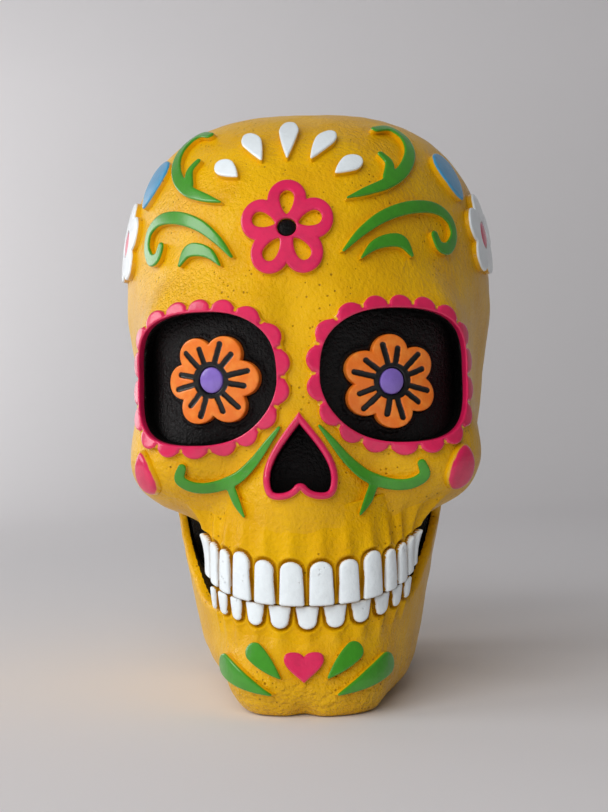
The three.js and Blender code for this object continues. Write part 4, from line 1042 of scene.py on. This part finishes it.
def reach_of(points, margin):
    p = np.array(points, float)
    return (p[:, 0].min() - margin, p[:, 0].max() + margin, p[:, 1].min() - margin, p[:, 1].max() + margin)


def scallop_middles(hand):
    """Evenly spaced points on a socket's edge."""
    t = np.linspace(0, 2 * math.pi, 721)
    cu, cv = np.cos(t), np.sin(t)
    power = np.where((cu * hand < 0) & (cv < 0), 1.0, 0.77)
    edge = np.stack([EYE_HALF_WIDTH * np.sign(cu) * np.abs(cu) ** power,
                     EYE_HALF_HEIGHT * np.sign(cv) * np.abs(cv) ** power], -1)
    walked = np.concatenate([[0], np.cumsum(np.linalg.norm(np.diff(edge, axis=0), axis=1))])
    spots = walked[-1] * (np.arange(SCALLOP_COUNT) + 0.5) / SCALLOP_COUNT
    return np.stack([np.interp(spots, walked, edge[:, a]) for a in (0, 1)], -1)


def scallop_distances(u, v, middles):
    """Distances to the scallops' middles, the nearest first."""
    return np.sort(np.stack([np.hypot(u - m[0], v - m[1]) for m in middles]), 0)


def eye_ink(u, v, first):
    """Distance to the black ring and the two strokes on each petal of an eye flower."""
    best = np.hypot(u, v) - EYE_INK_RING
    for k in range(6):
        for tilt, end in EYE_INK_STROKES:
            t = math.radians(first + 60 * k + tilt)
            cu, cv = math.cos(t), math.sin(t)
            along = np.clip(u * cu + v * cv, 4, end)
            best = np.minimum(best, np.hypot(u - along * cu, v - along * cv) - EYE_INK_HALF_WIDTH)
    return best


def build_eyes():
    reach = (-33, 33, -27, 27)
    for side, seat in EYE_SEATS.items():
        hand = SIDES[side]
        middles = scallop_middles(hand)
        inwards, below, turn = EYE_FLOWER_PLACES[side]
        across, up = -hand * inwards, -below

        def socket(u, v):
            return eye_outline(u, v, hand)

        def rim(u, v):
            band = np.abs(socket(u, v) - EYE_RIM_OFFSET) - EYE_RIM_HALF_WIDTH
            lobes = scallop_distances(u, v, middles)[0] - SCALLOP_RADIUS
            return np.maximum(np.minimum(band, lobes), EYE_RIM_OFFSET - EYE_RIM_HALF_WIDTH - socket(u, v))

        def valley(u, v):
            first, second = scallop_distances(u, v, middles)[:2]
            return ridge((second - first) / 2, *SCALLOP_VALLEY) * fade(0.6, 2.0, socket(u, v))

        def blossom(u, v):
            return petals((u - across) / EYE_FLOWER_STRETCH, v - up, 6, turn, *EYE_FLOWER_PETALS)

        def flower(u, v):
            return np.maximum(blossom(u, v), EYE_FLOWER_OPENING - np.hypot(u - across, v - up))

        def ink(u, v):
            return eye_ink((u - across) / EYE_FLOWER_STRETCH, v - up, turn)

        def bead(u, v):
            return -ridge(blossom(u, v), *BEAD)

        raised = {"low": -EYE_DEPTH - RELIEF_ROOT, "high": RELIEF - EYE_DEPTH}
        relief(f"eye_plate_{side}", seat, lambda u, v: socket(u, v) - 0.6, reach, "black_paint",
               low=-EYE_DEPTH - EYE_PLATE, high=-EYE_DEPTH, voxel=EYE_PLATE_VOXEL, carve=bead)
        relief(f"eye_scallop_rim_{side}", seat, rim, reach, "pink_paint", carve=valley, rounding=0.75,
               covered=lambda u, v: fade(1.3, 0.8, socket(u, v)))
        relief(f"eye_flower_{side}", seat, flower, (across - 18, across + 18, up - 17, up + 17),
               "orange_paint", ink=ink, carve=lambda u, v: 0.5 * fade(0.3, -0.2, ink(u, v)), **raised)
        relief(f"eye_flower_centre_{side}", seat,
               lambda u, v: np.hypot(u - across, v - up) - EYE_FLOWER_CENTRE,
               (across - 5, across + 5, up - 5, up + 5), "purple_paint", crown=0.6, **raised)


def build_nose():
    def rim(u, v):
        return np.abs(nose_outline(u, v) + NOSE_RIM_WIDTH / 2) - NOSE_RIM_WIDTH / 2

    relief("nasal_rim", NOSE_SEAT, rim, (-15, 15, -15, 18), "pink_paint", rounding=1.6,
           covered=lambda u, v: fade(-0.6, -1.0, nose_outline(u, v)))


def build_forehead():
    seat = front_seat(cranium, FOREHEAD_SHIFT, FLOWER_Z)

    def flower(u, v):
        w = v / FLOWER_STRETCH
        head, tip, width = FLOWER_SLIT
        d = petals(u, w, 5, 90, *FLOWER_PETALS)
        for k in range(5):
            a = math.radians(90 + 72 * k)
            c = np.array([math.cos(a), math.sin(a)])
            d = np.maximum(d, -drop(u, w, c * head, c * tip, width))
        return np.maximum(d, FLOWER_OPENING - np.hypot(u, v))

    relief("forehead_flower", seat, flower, (-16.5, 16.5, -18.5, 18.5), "pink_paint", rounding=0.7)
    relief("forehead_flower_centre", seat, lambda u, v: np.hypot(u, v) - FLOWER_CENTRE, (-4, 4, -4, 4),
           "black_paint", crown=0.7)
    for i in range(DROP_COUNT):
        place = i - DROP_COUNT // 2
        angle = math.radians(place * DROP_FAN_STEP)
        spot = front_seat(cranium, FOREHEAD_SHIFT + DROP_FAN_RADIUS * math.sin(angle),
                          DROP_FAN_Z + DROP_FAN_RADIUS * math.cos(angle))
        length, lean = DROP_LENGTH - DROP_SHORTER * abs(place), angle * DROP_LEAN
        end = np.array([math.sin(lean), math.cos(lean)]) * length / 2
        relief(f"crown_drop_{i + 1}", spot, lambda u, v: drop(u, v, end, -end, DROP_WIDTH, DROP_BLUNTNESS),
               (-11, 11, -13, 13), "white_paint")


def build_pairs():
    for side, hand in SIDES.items():
        def pair(name, seat, strokes, span=1.0):
            strokes = [mirrored(points, hand * span) for points in strokes]

            def outline(u, v):
                best = stroke(u, v, strokes[0])
                for points in strokes[1:]:
                    best = smooth_min(best, stroke(u, v, points), 0.8)
                return best
            relief(f"{name}_{side}", seat, outline, reach_of(sum(strokes, []), 4), "green_paint")

        def single(name, seat, shape, slot, **options):
            *ends, width = shape
            head, tip = mirrored(ends, hand)
            relief(f"{name}_{side}", seat, lambda u, v: drop(u, v, head, tip, width),
                   reach_of([head, tip], width), slot, **options)

        def at(place, form=cranium, shift=0.0, below=0.0):
            return front_seat(form, shift + hand * place[0], place[1] - below)

        shift, span, below = SIDE_LAYOUT[side]
        pair("upper_scroll", at(UPPER_SCROLL_PLACE, shift=FOREHEAD_SHIFT), [UPPER_SCROLL, UPPER_HOOK])
        pair("side_scroll", at(SIDE_SCROLL_PLACE, shift=shift, below=below), [SIDE_SCROLL], span)
        pair("brow_leaf", at(BROW_LEAF_PLACE, shift=shift, below=below), [BROW_LEAF], span)
        pair("cheek_scroll", at(CHEEK_SCROLL_PLACE), [CHEEK_SCROLL, CHEEK_BRANCH])

        out, up = TEMPLE_PETAL_PLACE
        petal_seat = beside_seat(at(UPPER_SCROLL_PLACE), hand * out, up)
        single("temple_petal", petal_seat, TEMPLE_PETAL, "blue_paint")
        single("cheek_drop", at(CHEEK_DROP_PLACE), CHEEK_DROP[side], "pink_paint", rounding=2)
        single("chin_leaf_inner", at(CHIN_LEAF_INNER_PLACE, jaw_form), CHIN_LEAF_INNER, "green_paint")
        single("chin_leaf_outer", at(CHIN_LEAF_OUTER_PLACE, jaw_form), CHIN_LEAF_OUTER, "green_paint")

        seat = side_seat(hand * TEMPLE_FLOWER_AZIMUTH, TEMPLE_FLOWER_Z)

        def flower(u, v):
            d = petals(u, v, 5, 90, *TEMPLE_FLOWER_PETALS)
            return np.maximum(d, TEMPLE_FLOWER_OPENING - np.hypot(u, v))

        relief(f"temple_flower_{side}", seat, flower, (-16, 16, -16, 16), "white_paint")
        relief(f"temple_flower_centre_{side}", seat, lambda u, v: np.hypot(u, v) - TEMPLE_FLOWER_CENTRE,
               (-6, 6, -6, 6), "pink_paint", crown=0.5)


def build_heart():
    corners = heart(*HEART)
    relief("chin_heart", front_seat(jaw_form, 0, HEART_Z), lambda u, v: polygon(u, v, corners),
           (-8, 8, -7.5, 6), "pink_paint", rounding=0.7)


# Camera, stage and light

def build_camera():
    back = Vector(heading(CAMERA_AZIMUTH))
    camera = new_object("camera", bpy.data.cameras.new("camera"))
    camera.data.sensor_width = CAMERA_SENSOR
    camera.data.lens = CAMERA_FOCAL / PICTURE_HEIGHT * CAMERA_SENSOR
    camera.data.clip_start = 0.01
    turn = Matrix.Rotation(math.radians(CAMERA_ROLL), 4, back)
    place = Vector(CAMERA_TARGET) * MM + back * (CAMERA_DISTANCE * MM)
    facing = turn @ back.to_track_quat("Z", "Y").to_matrix().to_4x4()
    camera.matrix_world = Matrix.Translation(place) @ facing
    scene.camera = camera
    scene.view_settings.view_transform = "Standard"


def build_floor():
    """A floor that bends up into a backdrop."""
    bend, radius = FLOOR_BEND_Y, FLOOR_BEND_RADIUS
    profile = [(FLOOR_FRONT_Y, 0.0), (bend, 0.0)]
    profile += [(bend + radius * math.sin(t), radius - radius * math.cos(t))
                for t in np.linspace(0.1, math.pi / 2, 12)]
    profile += [(bend + radius, BACKDROP_TOP_Z)]
    points = [(x, y, z) for x in (-FLOOR_HALF_WIDTH, FLOOR_HALF_WIDTH) for y, z in profile]
    n = len(profile)
    mesh = bpy.data.meshes.new("floor")
    mesh.from_pydata(points, [], [(i, n + i, n + i + 1, i + 1) for i in range(n - 1)])
    mesh.shade_smooth()
    nodes = Nodes("pale_floor", roughness=0.7)
    nodes.finish(nodes.mix(nodes.noise(3), FLOOR_WARM, FLOOR_COOL))
    mesh.materials.append(PAINTS["pale_floor"])
    floor = new_object("floor", mesh)


def build_light():
    for name, (place, aim, size, power) in LAMPS.items():
        light = bpy.data.lights.new(name, "AREA")
        light.size = size
        light.energy = power
        lamp = new_object(name, light)
        lamp.location = place
        lamp.rotation_euler = (Vector(aim) - Vector(place)).to_track_quat("-Z", "Y").to_euler()
        lamp.visible_glossy = name != "front_fill"  # that one only lifts the shadows
    world = bpy.data.worlds.new("room")
    world.use_nodes = True
    background = world.node_tree.nodes["Background"]
    background.inputs["Color"].default_value = (1, 1, 1, 1)
    background.inputs["Strength"].default_value = ROOM_STRENGTH
    scene.world = world


build_camera()
build_floor()
build_light()
build_skull()
build_jaw()
build_teeth("upper_teeth", UPPER_ROW, upper_gum, down=1, base=0.9, tall=2.5, taper=0.1)
build_teeth("lower_teeth", LOWER_ROW, jaw_form, down=-1, base=0.2, tall=2.0, taper=0.2)
build_eyes()
build_nose()
build_forehead()
build_pairs()
build_heart()

for name in ("mouth_backing", "nasal_plate"):
    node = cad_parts[name]
    node.data.materials.clear()
    node.data.materials.append(PAINTS["black_paint"])
